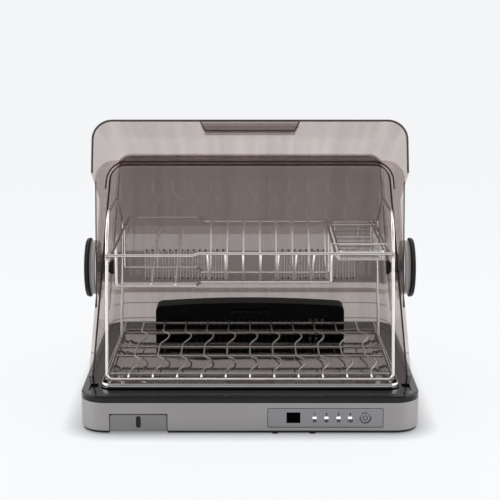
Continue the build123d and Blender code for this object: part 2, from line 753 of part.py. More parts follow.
def drafted_bar(grow):
    """Long bar along Y with the cover's tapered sides, grown outwards by a distance."""
    low = Z_TOP - OVERCUT
    top = SHELL_TOP + grow
    slope = grow / math.cos(math.radians(SHELL_DRAFT))
    points = [
        (-shell_half(low) - slope, low),
        (shell_half(low) + slope, low),
        (shell_half(top) + slope, top),
        (-shell_half(top) - slope, top),
    ]
    outline = make_face(Polyline(*[Vector(x, -FAR / 2, z) for x, z in points], close=True))
    return extrude(outline, amount=FAR, dir=(0, 1, 0))


def shell_side(grow, front_grow):
    """Side outline of the rear cover as a prism: sloping front edge, rounded top back, straight back."""
    top = SHELL_TOP + grow
    back = SHELL_BACK + grow
    low = Z_TOP - (OVERCUT if front_grow else 0.0)
    bend = SHELL_TOP - SHELL_BACK_STRAIGHT + grow
    front_low = yz(edge_y(low) - front_grow, low)
    front_top = yz(edge_y(top) - front_grow, top)
    bend_start = yz(back - bend, top)
    bend_mid = yz(back - bend + bend * math.sqrt(0.5), SHELL_BACK_STRAIGHT + bend * math.sqrt(0.5))
    bend_end = yz(back, SHELL_BACK_STRAIGHT)
    edges = [Line(front_low, front_top), Line(front_top, bend_start)]
    edges.append(ThreePointArc(bend_start, bend_mid, bend_end))
    edges.append(Line(bend_end, yz(back, low)))
    edges.append(Line(yz(back, low), front_low))
    return side_prism(edges, BASE_W)


def shell_solid(grow, front_grow):
    """Filled form of the rear cover, grown by a distance, with its long edges rounded."""
    solid = drafted_bar(grow) & shell_side(grow, front_grow)
    rounded = []
    for edge in solid.edges():
        middle = edge @ 0.5
        on_side = abs(abs(middle.X) - shell_half(middle.Z) - grow) < 1.0
        on_top = middle.Z > SHELL_TOP + grow - 0.5
        on_back = middle.Y > SHELL_BACK + grow - 0.5
        if on_side and (on_top or on_back or edge.geom_type != GeomType.LINE):
            rounded.append(edge)
    return fillet(rounded, SHELL_EDGE_R + grow)


def skirt_solid(grow):
    """Lower part of the rear cover that widens to the back round the blower tower."""
    low = Z_TOP if grow >= 0 else Z_TOP - OVERCUT
    top = SKIRT_TOP + grow
    half_top = shell_half(top) + grow
    half_low = shell_half(low) + grow
    front = 0.0
    faces = []
    for z, half in ((low, half_low), (top, half_top)):
        outline = Pos(0, (front + SKIRT_BACK + grow) / 2, z)
        radius = SKIRT_CORNER_R + grow
        sketch = Rectangle(2 * half, SKIRT_BACK + grow - front)
        sketch = fillet(sketch.vertices().group_by(Axis.Y)[-1], radius)
        faces.append(outline * sketch)
    return loft(faces)


def flange_bar():
    """Upright bar with round top edges: above the hinges the flange fills the width inside the door."""
    half = DOOR_HALF - SHELL_T - FLANGE_DOOR_GAP
    bar = block((-half, half), (-BASE_D, BASE_D), (Z_TOP, SHELL_TOP + SHELL_FLANGE))
    upper = bar.edges().filter_by(Axis.Y).group_by(Axis.Z)[-1]
    return fillet(upper, SHELL_EDGE_R + SHELL_FLANGE)


def rear_cover():
    """Fixed smoked cover: drafted shell, skirt, front flange, arch rib, hinge bosses and vents."""
    skin = shell_solid(0, 0) + skirt_solid(0)
    slab = shell_side(SHELL_FLANGE, 0) - shell_side(SHELL_FLANGE, -SHELL_T)
    flange = (shell_solid(SHELL_FLANGE, 0) + flange_bar()) & slab
    flange &= block((-BASE_W, BASE_W), (-FAR, 0), (Z_TOP, FAR))
    hollow = shell_solid(-SHELL_T, OVERCUT) + skirt_solid(-SHELL_T)
    shell = skin + flange - hollow
    rib = shell_solid(-SHELL_T + RIB_ROOT, OVERCUT) - shell_solid(-SHELL_T - SHELL_RIB_H, 2 * OVERCUT)
    rib &= block((-BASE_W, BASE_W), (SHELL_RIB_Y, SHELL_RIB_Y + SHELL_T), (SKIRT_TOP, FAR))
    shell += rib
    for side in SIDES.values():
        shell += pivot_rod(side * boss_foot(), side * boss_face(), BOSS_R)
        shell -= pivot_rod(0, side * FAR, PIN_R + RUN_FIT)
    cuts = []
    reach = (SHELL_BACK - 2 * SHELL_T, SHELL_BACK + CUT)
    vent_z = (VENT_Z - VENT_H / 2, VENT_Z + VENT_H / 2)
    for x in row(VENT_COUNT, VENT_PITCH, -VENT_X) + row(VENT_COUNT, VENT_PITCH, VENT_X):
        cuts.append(block((x - VENT_W / 2, x + VENT_W / 2), reach, vent_z))
    return shell - cuts


def pivot_rod(x0, x1, radius):
    """Round bar on the door's pivot axis."""
    return rod((x0, 0, PIVOT_Z), (x1, 0, PIVOT_Z), radius)


def boss_foot():
    """Inner end of a hinge boss, inside the rear cover's wall."""
    return shell_half(PIVOT_Z) - SHELL_T - BOSS_SINK


def boss_face():
    """Outer end of a hinge boss, just inside the door's ear."""
    return DOOR_HALF - SHELL_T - BOSS_FACE_GAP


def door_profile(inset, end_angle):
    """Front and top line of the door when shut: straight front, then one large bend."""
    front = DOOR_FRONT + inset
    radius = DOOR_BEND_R - inset
    centre_y = DOOR_FRONT + DOOR_BEND_R
    end = math.radians(end_angle)
    mid = (math.pi + end) / 2
    start = yz(front, DOOR_STRAIGHT)
    middle = yz(centre_y + radius * math.cos(mid), DOOR_STRAIGHT + radius * math.sin(mid))
    last = yz(centre_y + radius * math.cos(end), DOOR_STRAIGHT + radius * math.sin(end))
    return start, middle, last


def door_blank():
    """Filled side outline of the shut door: front, bend, and a fan down to the ear at the pivot."""
    start, middle, last = door_profile(0, DOOR_BEND_END)
    points = []
    for angle in DOOR_EAR_ANGLES:
        turn = math.radians(angle)
        points.append(yz(DOOR_EAR_R * math.cos(turn), PIVOT_Z + DOOR_EAR_R * math.sin(turn)))
    knee_z = PIVOT_Z - DOOR_KNEE_DROP
    knee = yz(edge_y(knee_z) - DOOR_EDGE_GAP, knee_z)
    heel = yz(edge_y(DOOR_BOTTOM) - DOOR_EDGE_GAP, DOOR_BOTTOM)
    toe = yz(DOOR_FRONT, DOOR_BOTTOM)
    edges = [Line(toe, start), ThreePointArc(start, middle, last), Line(last, points[0])]
    edges.append(ThreePointArc(*points))
    edges += [Line(points[2], knee), Line(knee, heel), Line(heel, toe)]
    solid = side_prism(edges, DOOR_HALF)
    return fillet(outline_edges(solid, DOOR_HALF, 0), DOOR_EDGE_R)


def outline_edges(solid, half, inset):
    """Edges along the front and the bend on both sides of a door solid."""
    found = []
    for edge in solid.edges():
        middle = edge @ 0.5
        reach = math.hypot(middle.Y - DOOR_FRONT - DOOR_BEND_R, middle.Z - DOOR_STRAIGHT)
        on_bend = abs(reach - DOOR_BEND_R + inset) < 0.5 and middle.Z > DOOR_STRAIGHT
        on_front = abs(middle.Y - DOOR_FRONT - inset) < 0.5 and middle.Z < DOOR_STRAIGHT
        if abs(abs(middle.X) - half) < 0.01 and (on_bend or on_front):
            found.append(edge)
    return found


def door_hollow():
    """Space inside the shut door, open below and behind."""
    start, middle, last = door_profile(SHELL_T, 90.0)
    floor = DOOR_BOTTOM - OVERCUT
    back = DOOR_EAR_R + OVERCUT
    toe = yz(DOOR_FRONT + SHELL_T, floor)
    far_top = yz(back, last.Z)
    far_low = yz(back, floor)
    edges = [Line(toe, start), ThreePointArc(start, middle, last)]
    edges += [Line(last, far_top), Line(far_top, far_low), Line(far_low, toe)]
    solid = side_prism(edges, DOOR_HALF - SHELL_T)
    return fillet(outline_edges(solid, DOOR_HALF - SHELL_T, SHELL_T), DOOR_EDGE_R - SHELL_T)


def grip_tub(inset, y0, z0, z1):
    """Tapering finger pocket at the door's free edge, from plane y0 back to its floor."""
    back = DOOR_FRONT + GRIP_DEPTH - inset
    slope = (GRIP_W - GRIP_INNER_W) / 2 / GRIP_DEPTH
    wide = GRIP_W / 2 - inset + slope * (DOOR_FRONT - y0)
    narrow = GRIP_INNER_W / 2 - inset + slope * inset
    points = [(-wide, y0), (wide, y0), (narrow, back), (-narrow, back)]
    outline = make_face(Polyline(*[Vector(x, y, z0) for x, y in points], close=True))
    return extrude(outline, amount=z1 - z0, dir=(0, 0, 1))


def front_cover():
    """Swing-up smoked door, drawn shut and then turned to its open rest position."""
    door = door_blank() - door_hollow()
    top = DOOR_BOTTOM + GRIP_H
    door += grip_tub(0, DOOR_FRONT + CUT, DOOR_BOTTOM, top)
    door -= grip_tub(GRIP_WALL, DOOR_FRONT - CUT, DOOR_BOTTOM + GRIP_WALL, top - GRIP_WALL)
    door -= pivot_rod(-FAR, FAR, PIN_R + RUN_FIT)
    return door.rotate(Axis((0, 0, PIVOT_Z), (1, 0, 0)), -DOOR_OPEN)


def hinge_pin(side):
    """Hinge pin fixed in the rear cover's boss, with a round nut inside the cover."""
    foot = boss_foot()
    pin = pivot_rod(side * foot, side * (DOOR_HALF + HUB_L - PIN_END_GAP), PIN_R)
    return pin + pivot_rod(side * (foot - PIN_NUT_L), side * foot, PIN_NUT_R)


def hinge_washer(side):
    """Friction washer between the rear cover's boss and the door's ear."""
    ring = pivot_rod(side * boss_face(), side * (DOOR_HALF - SHELL_T - FIT), WASHER_R)
    return ring - pivot_rod(0, side * FAR, PIN_R + RUN_FIT)


def hinge_hub(side):
    """Hub ring on the outside of the door's ear."""
    ring = pivot_rod(side * DOOR_HALF, side * (DOOR_HALF + HUB_L), HUB_R)
    return ring - pivot_rod(0, side * FAR, PIN_R + RUN_FIT)


def hinge_cap(side):
    """Black cap disc over the hub, with a rounded outer edge."""
    start = DOOR_HALF + HUB_L
    disc = pivot_rod(side * start, side * (start + CAP_L), CAP_R)
    outer = disc.faces().sort_by(Axis.X)[-1 if side > 0 else 0]
    return fillet(outer.edges(), CAP_EDGE_R)


def hoop_x(z):
    """Distance of a hoop from the middle: the hoops lean in towards the top."""
    return RACK_HALF - (z - RACK_Z) / (HOOP_TOP - RACK_Z) * HOOP_LEAN


def rack_hoops():
    """One bent wire: the front rail, both front legs, arches and rear legs."""
    stand = RACK_Z + RAIL_D / 2 + TOUCH
    side = [
        (HOOP_REAR_Y, stand),
        (HOOP_REAR_Y, HOOP_REAR_Z),
        (HOOP_SHOULDER_Y, HOOP_TOP),
        (RACK_FRONT, HOOP_TOP),
        (RACK_FRONT, RACK_Z),
    ]
    left = [Vector(-hoop_x(z), y, z) for y, z in side]
    right = [Vector(hoop_x(z), y, z) for y, z in reversed(side)]
    return bent_wire(left + right, RAIL_D, HOOP_BENDS + HOOP_BENDS[::-1])


def rack_rails():
    """Side, rear and cross rails of the lower rack, with four short legs on the tray's flange."""
    r = RAIL_D / 2
    start = RACK_FRONT + r + TOUCH
    rails = []
    for side in SIDES.values():
        x = side * RACK_HALF
        rails.append(rod((x, start, RACK_Z), (x, RACK_REAR + r, RACK_Z), r))
        for y in between(RACK_FRONT, RACK_REAR, LEG_SHARES):
            rails.append(rod((x, y, TRAY_SEAT + TRAY_T + TOUCH), (x, y, RACK_Z - r - TOUCH), r))
    reach = RACK_HALF - r - TOUCH
    for y in between(RACK_FRONT, RACK_REAR, CROSS_SHARES) + [RACK_REAR]:
        rails.append(rod((-reach, y, RACK_Z), (reach, y, RACK_Z), r))
    return group(rails)


def wavy_wires():
    """Front-to-back wires, each with two bulges to the right that hold a plate's edge."""
    z = RACK_Z + RAIL_D / 2 + THIN_D / 2 + TOUCH
    wires = []
    for x in row(WAVE_COUNT, WAVE_PITCH):
        points = [Vector(x, RACK_FRONT - WIRE_END, z)]
        for shares in WAVE_SHARES:
            start, end = between(RACK_FRONT, RACK_REAR, shares)
            third = (end - start) / 3
            points.append(Vector(x, start, z))
            points.append(Vector(x + WAVE_BULGE, start + third, z + WAVE_RISE))
            points.append(Vector(x + WAVE_BULGE, end - third, z + WAVE_RISE))
            points.append(Vector(x, end, z))
        points.append(Vector(x, RACK_REAR + WIRE_END, z))
        wires.append(kinked_wire(points, THIN_D))
    return group(wires)


def rack_hooks():
    """Small hooks on the hoop legs that carry the upper rack."""
    r = UPPER_D / 2
    drop = UPPER_D + FIT
    hooks = []
    front_y = RACK_FRONT - RAIL_D / 2 - TOUCH
    for side, z in ((-1, UPPER_LEFT_Z), (1, UPPER_Z)):
        x = side * hoop_x(z)
        hooks.append(rod((x, front_y, z - drop), (x, UPPER_FRONT - HOOK_REACH, z - drop), r))
    rear_y = HOOP_REAR_Y + RAIL_D / 2 + TOUCH
    x = hoop_x(UPPER_Z)
    hooks.append(rod((x, rear_y, UPPER_Z - drop), (x, UPPER_REAR + HOOK_REACH, UPPER_Z - drop), r))
    x = -hoop_x(UPPER_LEFT_Z) + RAIL_D / 2 + TOUCH
    z = UPPER_LEFT_Z - drop
    hooks.append(rod((x, HOOP_REAR_Y, z), (-UPPER_SIDE + HOOK_SIDE_REACH, HOOP_REAR_Y, z), r))
    return group(hooks)


def upper_frame():
    """Top rails of the upper rack: stepped front and rear rails and three side rails."""
    d = UPPER_D
    r = d / 2
    left = UPPER_JOG_X - UPPER_JOG
    front = [
        Vector(-UPPER_HALF, UPPER_FRONT, UPPER_LEFT_Z),
        Vector(left, UPPER_FRONT, UPPER_LEFT_Z),
        Vector(UPPER_JOG_X, UPPER_FRONT, UPPER_Z),
        Vector(UPPER_HALF, UPPER_FRONT, UPPER_Z),
    ]
    rear = [
        Vector(-UPPER_SIDE + r + TOUCH, UPPER_LEFT_REAR, UPPER_LEFT_Z),
        Vector(left, UPPER_LEFT_REAR, UPPER_LEFT_Z),
        Vector(UPPER_JOG_X, UPPER_REAR, UPPER_Z),
        Vector(UPPER_HALF, UPPER_REAR, UPPER_Z),
    ]
    rails = [bent_wire(front, d, UPPER_BEND_R), bent_wire(rear, d, UPPER_BEND_R)]
    start = UPPER_FRONT + r + TOUCH
    stop = UPPER_REAR - r - TOUCH
    rails.append(rod((-UPPER_SIDE, start, UPPER_LEFT_Z), (-UPPER_SIDE, UPPER_LEFT_REAR + r, UPPER_LEFT_Z), r))
    for x in (BASKET_RAIL_X, UPPER_SIDE):
        rails.append(rod((x, start, UPPER_Z), (x, stop, UPPER_Z), r))
    return group(rails)


def low_rails():
    """Two stepped low rails of the upper rack, bent up at both ends to meet its side rails."""
    r = UPPER_D / 2
    left = UPPER_JOG_X - UPPER_JOG
    wires = []
    for left_y, mid_y in zip(low_places(LOW_LEFT_SHARES), low_places(LOW_MID_SHARES)):
        points = [
            Vector(-UPPER_SIDE, left_y, UPPER_LEFT_Z - r - TOUCH),
            Vector(-UPPER_SIDE, left_y, LOW_RAIL_Z),
            Vector(left, left_y, LOW_RAIL_Z),
            Vector(UPPER_JOG_X, mid_y, LOW_RAIL_Z),
            Vector(BASKET_RAIL_X, mid_y, LOW_RAIL_Z),
            Vector(BASKET_RAIL_X, mid_y, UPPER_Z - r - TOUCH),
        ]
        wires.append(bent_wire(points, UPPER_D, LOW_BEND_R))
    return group(wires)


def low_places(shares):
    """Places of the low rails between the front and the rear rail of the upper rack."""
    return between(UPPER_FRONT, UPPER_REAR, shares)


def divider_wires():
    """Plate dividers: down from the front rail, along the low rails and up to the rear rail."""
    r = UPPER_D / 2 + THIN_D / 2 + TOUCH
    low = LOW_RAIL_Z + r
    front, rear = low_places(LOW_MID_SHARES)
    wires = []
    for index in range(DIVIDER_COUNT):
        x = DIVIDER_X + DIVIDER_PITCH * index
        points = [
            Vector(x, UPPER_FRONT + r + FIT, UPPER_Z),
            Vector(x, front - WIRE_SEAT, low),
            Vector(x, rear + WIRE_SEAT, low),
            Vector(x, UPPER_REAR - DIVIDER_KNEE_BACK, UPPER_Z - DIVIDER_KNEE_DROP),
            Vector(x, UPPER_REAR - r - FIT, UPPER_Z),
        ]
        wires.append(kinked_wire(points, THIN_D))
    return group(wires)


def hairpins():
    """Two tall hairpin wires in the left section, standing on its low rails."""
    r = UPPER_D / 2 + THIN_D / 2 + TOUCH
    low = LOW_RAIL_Z + r
    front, rear = low_places(LOW_LEFT_SHARES)
    wires = []
    for inset in HAIRPIN_INSETS:
        x = inset - UPPER_SIDE
        points = [
            Vector(x, front - WIRE_SEAT, low),
            Vector(x, front + WIRE_SEAT, low),
            Vector(x, UPPER_LEFT_REAR - HAIRPIN_BACKS[0], HAIRPIN_Z),
            Vector(x, UPPER_LEFT_REAR - HAIRPIN_BACKS[1], HAIRPIN_Z),
            Vector(x, rear + WIRE_SEAT, low),
            Vector(x, rear - WIRE_SEAT, low),
        ]
        wires.append(kinked_wire(points, THIN_D))
    return group(wires)


def basket_floor(y):
    """Height of the basket's floor wires: shallow at the front, deep at the back."""
    share = (y - BASKET_Y[0]) / (BASKET_Y[1] - BASKET_Y[0])
    return BASKET_SHALLOW_Z + share * (BASKET_DEEP_Z - BASKET_SHALLOW_Z)


def basket_rim_z():
    """Height of the basket's rim: just under the two carriers that lie on the rails."""
    return UPPER_Z + UPPER_D / 2 + FIT - BASKET_D / 2 - TOUCH


def basket_frame():
    """Rim of the cutlery basket and the two carriers that hang it on its rails."""
    r = BASKET_D / 2
    z = basket_rim_z()
    corners = [(0, 0), (0, 1), (1, 1), (1, 0)]
    points = [Vector(BASKET_X[i], BASKET_Y[j], z) for i, j in corners]
    path = FilletPolyline(*points, radius=BASKET_CORNER_R, close=True)
    start = Plane(origin=path @ 0, z_dir=path % 0)
    pieces = [sweep(start * Circle(r), path=path)]
    lift = UPPER_Z + UPPER_D / 2 + FIT + r
    for y in (BASKET_Y[0] + CARRIER_INSET, BASKET_Y[1] - CARRIER_INSET):
        pieces.append(rod((BASKET_RAIL_X - CARRIER_REACH, y, lift), (UPPER_SIDE + CARRIER_REACH, y, lift), r))
    return group(pieces)


def basket_wires():
    """Thin wires of the basket: side and floor ribs, floor wires along and rows at the back."""
    r = BASKET_WIRE_D / 2
    top = basket_rim_z() - BASKET_D / 2 - r - TOUCH
    x0, x1 = BASKET_X
    y0, y1 = BASKET_Y
    first = y0 + BASKET_RIB_ENDS[0]
    last = y1 - BASKET_RIB_ENDS[1]
    wires = []
    for y in row(BASKET_RIB_COUNT, (last - first) / (BASKET_RIB_COUNT - 1), (first + last) / 2):
        floor = basket_floor(y)
        inner = r + TOUCH
        wires.append(thin_rod((x0 + inner, y, floor), (x1 - inner, y, floor), BASKET_WIRE_D))
        for x in BASKET_X:
            wires.append(thin_rod((x, y, floor - r), (x, y, top + r), BASKET_WIRE_D))
    for share in BASKET_FLOOR_SHARES:
        x = x0 + (x1 - x0) * share
        drop = 2 * r + TOUCH
        y = y0 + BASKET_WIRE_START
        start = (x, y, basket_floor(y) - drop)
        wires.append(thin_rod(start, (x, y1, basket_floor(y1) - drop), BASKET_WIRE_D))
    for index in range(BASKET_REAR_COUNT):
        z = BASKET_DEEP_Z + (top - BASKET_DEEP_Z) * index / (BASKET_REAR_COUNT - 1)
        wires.append(thin_rod((x0, y1, z), (x1, y1, z), BASKET_WIRE_D))
    for share in BASKET_BACK_SHARES:
        x = x0 + (x1 - x0) * share
        y = y1 + 2 * r + TOUCH
        wires.append(thin_rod((x, y, BASKET_DEEP_Z - r), (x, y, top), BASKET_WIRE_D))
    return group(wires)


def display_window():
    """Dark display lens in the panel."""
    return window_block(DISPLAY_X, DISPLAY_W, DISPLAY_H, 0)


def indicator_lenses():
    """Four small lamp lenses in the panel."""
    return group([window_block(x, LAMP_W, LAMP_H, 0) for x in LAMP_X])


def build():
    """Every piece of the dryer, by node name."""
    nodes = {
        "bottom_pan": bottom_pan(),
        "pan_screws": pan_screws(),
        "rubber_feet": rubber_feet(),
        "steel_band": steel_band(),
        "cord_gland": cord_gland(),
        "top_deck": top_deck(),
        "drain_tray": drain_tray(),
        "drawer_front": drawer_front(),
        "drawer_pull": drawer_pull(),
        "drawer_bin": drawer_bin(),
        "panel_plate": panel_plate(),
        "display_window": display_window(),
        "indicator_lenses": indicator_lenses(),
        "start_button": start_button(),
        "circuit_board": circuit_board(),
        "tower_shell": tower_shell(),
        "fan_motor": fan_motor(),
        "fan_bearing": fan_bearing(),
        "fan_shaft": fan_shaft(),
        "fan_impeller": fan_impeller(),
        "heater_block": heater_block(),
        "rear_cover": rear_cover(),
        "front_cover": front_cover(),
        "rack_hoops": rack_hoops(),
        "rack_rails": rack_rails(),
        "wavy_wires": wavy_wires(),
        "rack_hooks": rack_hooks(),
        "upper_frame": upper_frame(),
        "low_rails": low_rails(),
        "divider_wires": divider_wires(),
        "hairpins": hairpins(),
        "basket_frame": basket_frame(),
        "basket_wires": basket_wires(),
    }
    for name, side in SIDES.items():
        nodes["hinge_pin_" + name] = hinge_pin(side)
        nodes["hinge_washer_" + name] = hinge_washer(side)
        nodes["hinge_hub_" + name] = hinge_hub(side)
        nodes["hinge_cap_" + name] = hinge_cap(side)
    return nodes


os.makedirs("parts", exist_ok=True)
for node, shape in build().items():
    export_step(shape, "parts/" + node + ".step")
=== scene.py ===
"""Looks of a counter-top dish dryer: smoked covers, steel-banded base, wire racks and a hot-air tower.

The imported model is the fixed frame. Each operator below dresses one group of pieces or builds new ones,
and the last one makes the floor, the light and the camera.
"""

import math

import bmesh
import bpy
import numpy as np
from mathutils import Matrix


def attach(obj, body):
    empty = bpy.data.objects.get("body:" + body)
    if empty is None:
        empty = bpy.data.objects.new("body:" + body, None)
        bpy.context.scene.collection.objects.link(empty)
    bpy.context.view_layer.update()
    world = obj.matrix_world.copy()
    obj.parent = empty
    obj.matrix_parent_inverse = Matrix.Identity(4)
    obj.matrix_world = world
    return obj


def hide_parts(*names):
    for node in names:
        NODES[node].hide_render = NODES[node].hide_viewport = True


bl_info = {
    "name": "Dish dryer looks",
    "version": (1, 0, 0),
    "blender": (4, 5, 0),
    "location": "View3D > Sidebar > Dryer",
    "description": "Finishes, fine pieces and stage for a counter-top dish dryer",
    "category": "Object",
}

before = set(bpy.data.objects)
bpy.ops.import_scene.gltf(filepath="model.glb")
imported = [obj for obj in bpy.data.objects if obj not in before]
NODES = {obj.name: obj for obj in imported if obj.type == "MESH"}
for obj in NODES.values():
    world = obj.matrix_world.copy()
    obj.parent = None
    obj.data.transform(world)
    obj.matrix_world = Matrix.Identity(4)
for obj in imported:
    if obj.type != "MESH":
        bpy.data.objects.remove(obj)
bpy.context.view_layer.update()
PIVOT = (0.0, 0.0, 0.199)
DOOR_OPEN = math.radians(110.7)
SIDEWAYS = (1.0, 0.0, 0.0)
EVEN = (1.0, 1.0, 1.0)

# Front, in metres: (x, z) centres, half sizes and corner of the panel, and how fine the brushing is.
BUTTON = (0.1651, 0.025)
PANEL = (0.108, 0.025)
PANEL_HALF = (0.083, 0.01425)
PANEL_CORNER = 0.0035
PANEL_LINES = (5.0, 5.0, 1900.0)
BAND_LINES = (5.0, 5.0, 1600.0)

# Rear cover: front edge and half width at its foot, their change with height, its rounded edge and its top.
REAR_FOOT = 0.057
REAR_FRONT = -0.117
REAR_LEAN = 0.042 / 0.315
REAR_HALF = 0.2365
REAR_TAPER = 0.0945
REAR_EDGE = 0.024
REAR_TOP = 0.372


class Value:
    """A number socket that can stand in Python expressions; each operator adds one Math node."""

    def __init__(self, finish, socket):
        self.finish = finish
        self.socket = socket

    def _math(self, operation, first, second=None):
        inputs = {0: first}
        if second is not None:
            inputs[1] = second
        return self.finish.add("ShaderNodeMath", {"operation": operation}, inputs).value()

    def __add__(self, other):
        return self._math("ADD", self, other)

    def __radd__(self, other):
        return self._math("ADD", other, self)

    def __sub__(self, other):
        return self._math("SUBTRACT", self, other)

    def __rsub__(self, other):
        return self._math("SUBTRACT", other, self)

    def __mul__(self, other):
        return self._math("MULTIPLY", self, other)

    def __rmul__(self, other):
        return self._math("MULTIPLY", other, self)

    def __truediv__(self, other):
        return self._math("DIVIDE", self, other)

    def __pow__(self, other):
        return self._math("POWER", self, other)

    def __rpow__(self, other):
        return self._math("POWER", other, self)

    def __abs__(self):
        return self._math("ABSOLUTE", self)

    def high(self, other):
        """The larger of two numbers."""
        return self._math("MAXIMUM", self, other)

    def low(self, other):
        """The smaller of two numbers."""
        return self._math("MINIMUM", self, other)

    def below(self, edge, soft):
        """1 under the edge, 0 over it, with a soft step of the given width."""
        settings = {"interpolation_type": "SMOOTHSTEP"}
        inputs = {
            "Value": self,
            "From Min": edge - soft,
            "From Max": edge + soft,
            "To Min": 1.0,
            "To Max": 0.0,
        }
        return self.finish.add("ShaderNodeMapRange", settings, inputs).value("Result")


class Step:
    """One node of a finish, with its outputs by name."""

    def __init__(self, finish, node):
        self.finish = finish
        self.node = node

    def value(self, name=0):
        return Value(self.finish, self.node.outputs[name])

    def out(self, name=0):
        return self.node.outputs[name]


class Finish:
    """A procedural material: a Principled shader and the nodes that feed it."""

    def __init__(self, name, tree=None):
        if tree is None:
            self.material = bpy.data.materials.new(name)
            self.material.use_nodes = True
            tree = self.material.node_tree
        self.tree = tree
        self.tree.nodes.clear()

    def add(self, kind, settings=None, inputs=None):
        """Adds a node of a type, sets its settings, then fills or links its sockets."""
        node = self.tree.nodes.new(kind)
        for name, setting in (settings or {}).items():
            setattr(node, name, setting)
        for name, given in (inputs or {}).items():
            self._fill(node.inputs[name], given)
        return Step(self, node)

    def _fill(self, socket, given):
        if isinstance(given, Value):
            self.tree.links.new(given.socket, socket)
        elif isinstance(given, bpy.types.NodeSocket):
            self.tree.links.new(given, socket)
        else:
            socket.default_value = given

    def place(self):
        """Place on the piece, in metres in the row frame."""
        return self.add("ShaderNodeTexCoord").out("Object")

    def axes(self):
        """The three coordinates of the place as numbers."""
        parts = self.add("ShaderNodeSeparateXYZ", None, {"Vector": self.place()})
        return parts.value("X"), parts.value("Y"), parts.value("Z")

    def noise(self, stretch, scale, detail=2.0, roughness=0.5):
        """Noise stretched along the axes."""
        vector = self.add("ShaderNodeMapping", None, {"Vector": self.place(), "Scale": stretch}).out()
        inputs = {"Vector": vector, "Scale": scale, "Detail": detail, "Roughness": roughness}
        return self.add("ShaderNodeTexNoise", None, inputs).value("Fac")

    def mix(self, factor, first, second):
        """Colour between two colours."""
        settings = {"data_type": "RGBA"}
        inputs = {"Factor": factor, 6: first, 7: second}
        return self.add("ShaderNodeMix", settings, inputs).out(2)

    def bump(self, height, strength, distance):
        """Normal from a height."""
        inputs = {"Height": height, "Strength": strength, "Distance": distance}
        return self.add("ShaderNodeBump", None, inputs).out("Normal")

    def shade(self, **sockets):
        """Principled shader to the surface; socket names use underscores for spaces."""
        inputs = {name.replace("_", " "): given for name, given in sockets.items()}
        shader = self.add("ShaderNodeBsdfPrincipled", None, inputs)
        self.add("ShaderNodeOutputMaterial", None, {"Surface": shader.out("BSDF")})
        return self.material


def rgba(colour):
    """A property colour as four numbers."""
    return (colour[0], colour[1], colour[2], 1.0)


def scaled(colour, factor):
    """A colour, lighter or darker."""
    return (colour[0] * factor, colour[1] * factor, colour[2] * factor, 1.0)


def smoke_finish(name, looks, depth, rim):
    """Clear smoked moulding: each face tints what is behind it and mirrors a little.

    depth(finish) counts how many walls deep the tint is. A further wall lets smoke_clear of the light
    through, and the rest meets the smoke's own colour. rim(finish) is 1 on cut edges, where it paints
    shade:
    a near-black, nearly opaque line in place of the refraction that makes such edges look dark.
    """
    finish = Finish(name)
    facing = finish.add("ShaderNodeLayerWeight", None, {"Blend": 0.3}).value("Facing")
    streak = finish.noise((60.0, 1.5, 1.5), 1.0, 2.0)
    wave = finish.noise(EVEN, 9.0, 1.0)
    walls = depth(finish) - 1.0 + facing ** 2.0 * 0.4 + (streak - 0.5) * 0.36
    edge = rim(finish)
    # Painted shade: on cut edges the colour goes near-black, the face nearly opaque and without gloss.
    solid = (1.0 - looks.smoke_clear ** walls).high(0.0)
    stopped = solid + edge * (0.95 - solid)
    whole = (1.0 + walls.low(0.0)).high(0.0)
    gloss = (looks.smoke_gloss + facing ** 6.0 * 0.5) * whole * (1.0 - edge)
    share = (stopped + gloss * (1.0 - stopped)).low(0.97)
    mirror = gloss / share
    dull = finish.mix(edge, rgba(looks.smoke), scaled(looks.smoke, 0.2))
    body = finish.add(
        "ShaderNodeBsdfPrincipled",
        None,
        {
            "Base Color": finish.mix(mirror, dull, (0.9, 0.9, 0.9, 1.0)),
            "Metallic": mirror,
            "Roughness": 0.04,
            "IOR": 1.5,
            "Normal": finish.bump(wave, 0.05, 0.002),
        },
    )
    clear = finish.add("ShaderNodeBsdfTransparent", None, {"Color": rgba(looks.tint)})
    both = finish.add("ShaderNodeMixShader", None, {0: share, 1: clear.out(), 2: body.out()})
    finish.add("ShaderNodeOutputMaterial", None, {"Surface": both.out()})
    return finish.material


def band_of(value, low, high, soft):
    """1 between two edges, 0 outside them."""
    return value.below(high, soft) - value.below(low, soft)


def rear_depth(finish):
    """Tint depth of the rear cover in walls: two behind its rib, three round the vents, less on the roof, a
    little more low at the back, lines below.
    """
    _, y, z = finish.axes()
    under = z.below(0.1325, 0.0015)
    behind = (1.0 - y.below(0.0495, 0.001)) * (1.0 - under)
    vents = (1.0 - y.below(0.165, 0.004)) * band_of(z, 0.1325, 0.187, 0.0015)
    low = (1.0 - y.below(0.100, 0.010)) * under * 0.55
    scores = band_of(z, 0.0643, 0.0658, 0.0003) + band_of(z, 0.0913, 0.0928, 0.0003)
    roof = 1.0 - z.below(0.3655, 0.0008)
    return 1.0 + behind - roof * 1.7 + vents + low + scores


def rear_outline(finish):
    """Distance outside the rear cover's rounded front outline, and 1 on its front face."""
    x, y, z = finish.axes()
    up = z - REAR_FOOT
    front = (y - (REAR_FRONT + up * REAR_LEAN)).below(0.0010, 0.0003)
    side = (abs(x) - (REAR_HALF - up * REAR_TAPER) + REAR_EDGE).high(0.0)
    over = (z - (REAR_TOP - REAR_EDGE)).high(0.0)
    return (side ** 2.0 + over ** 2.0) ** 0.5 - REAR_EDGE, front


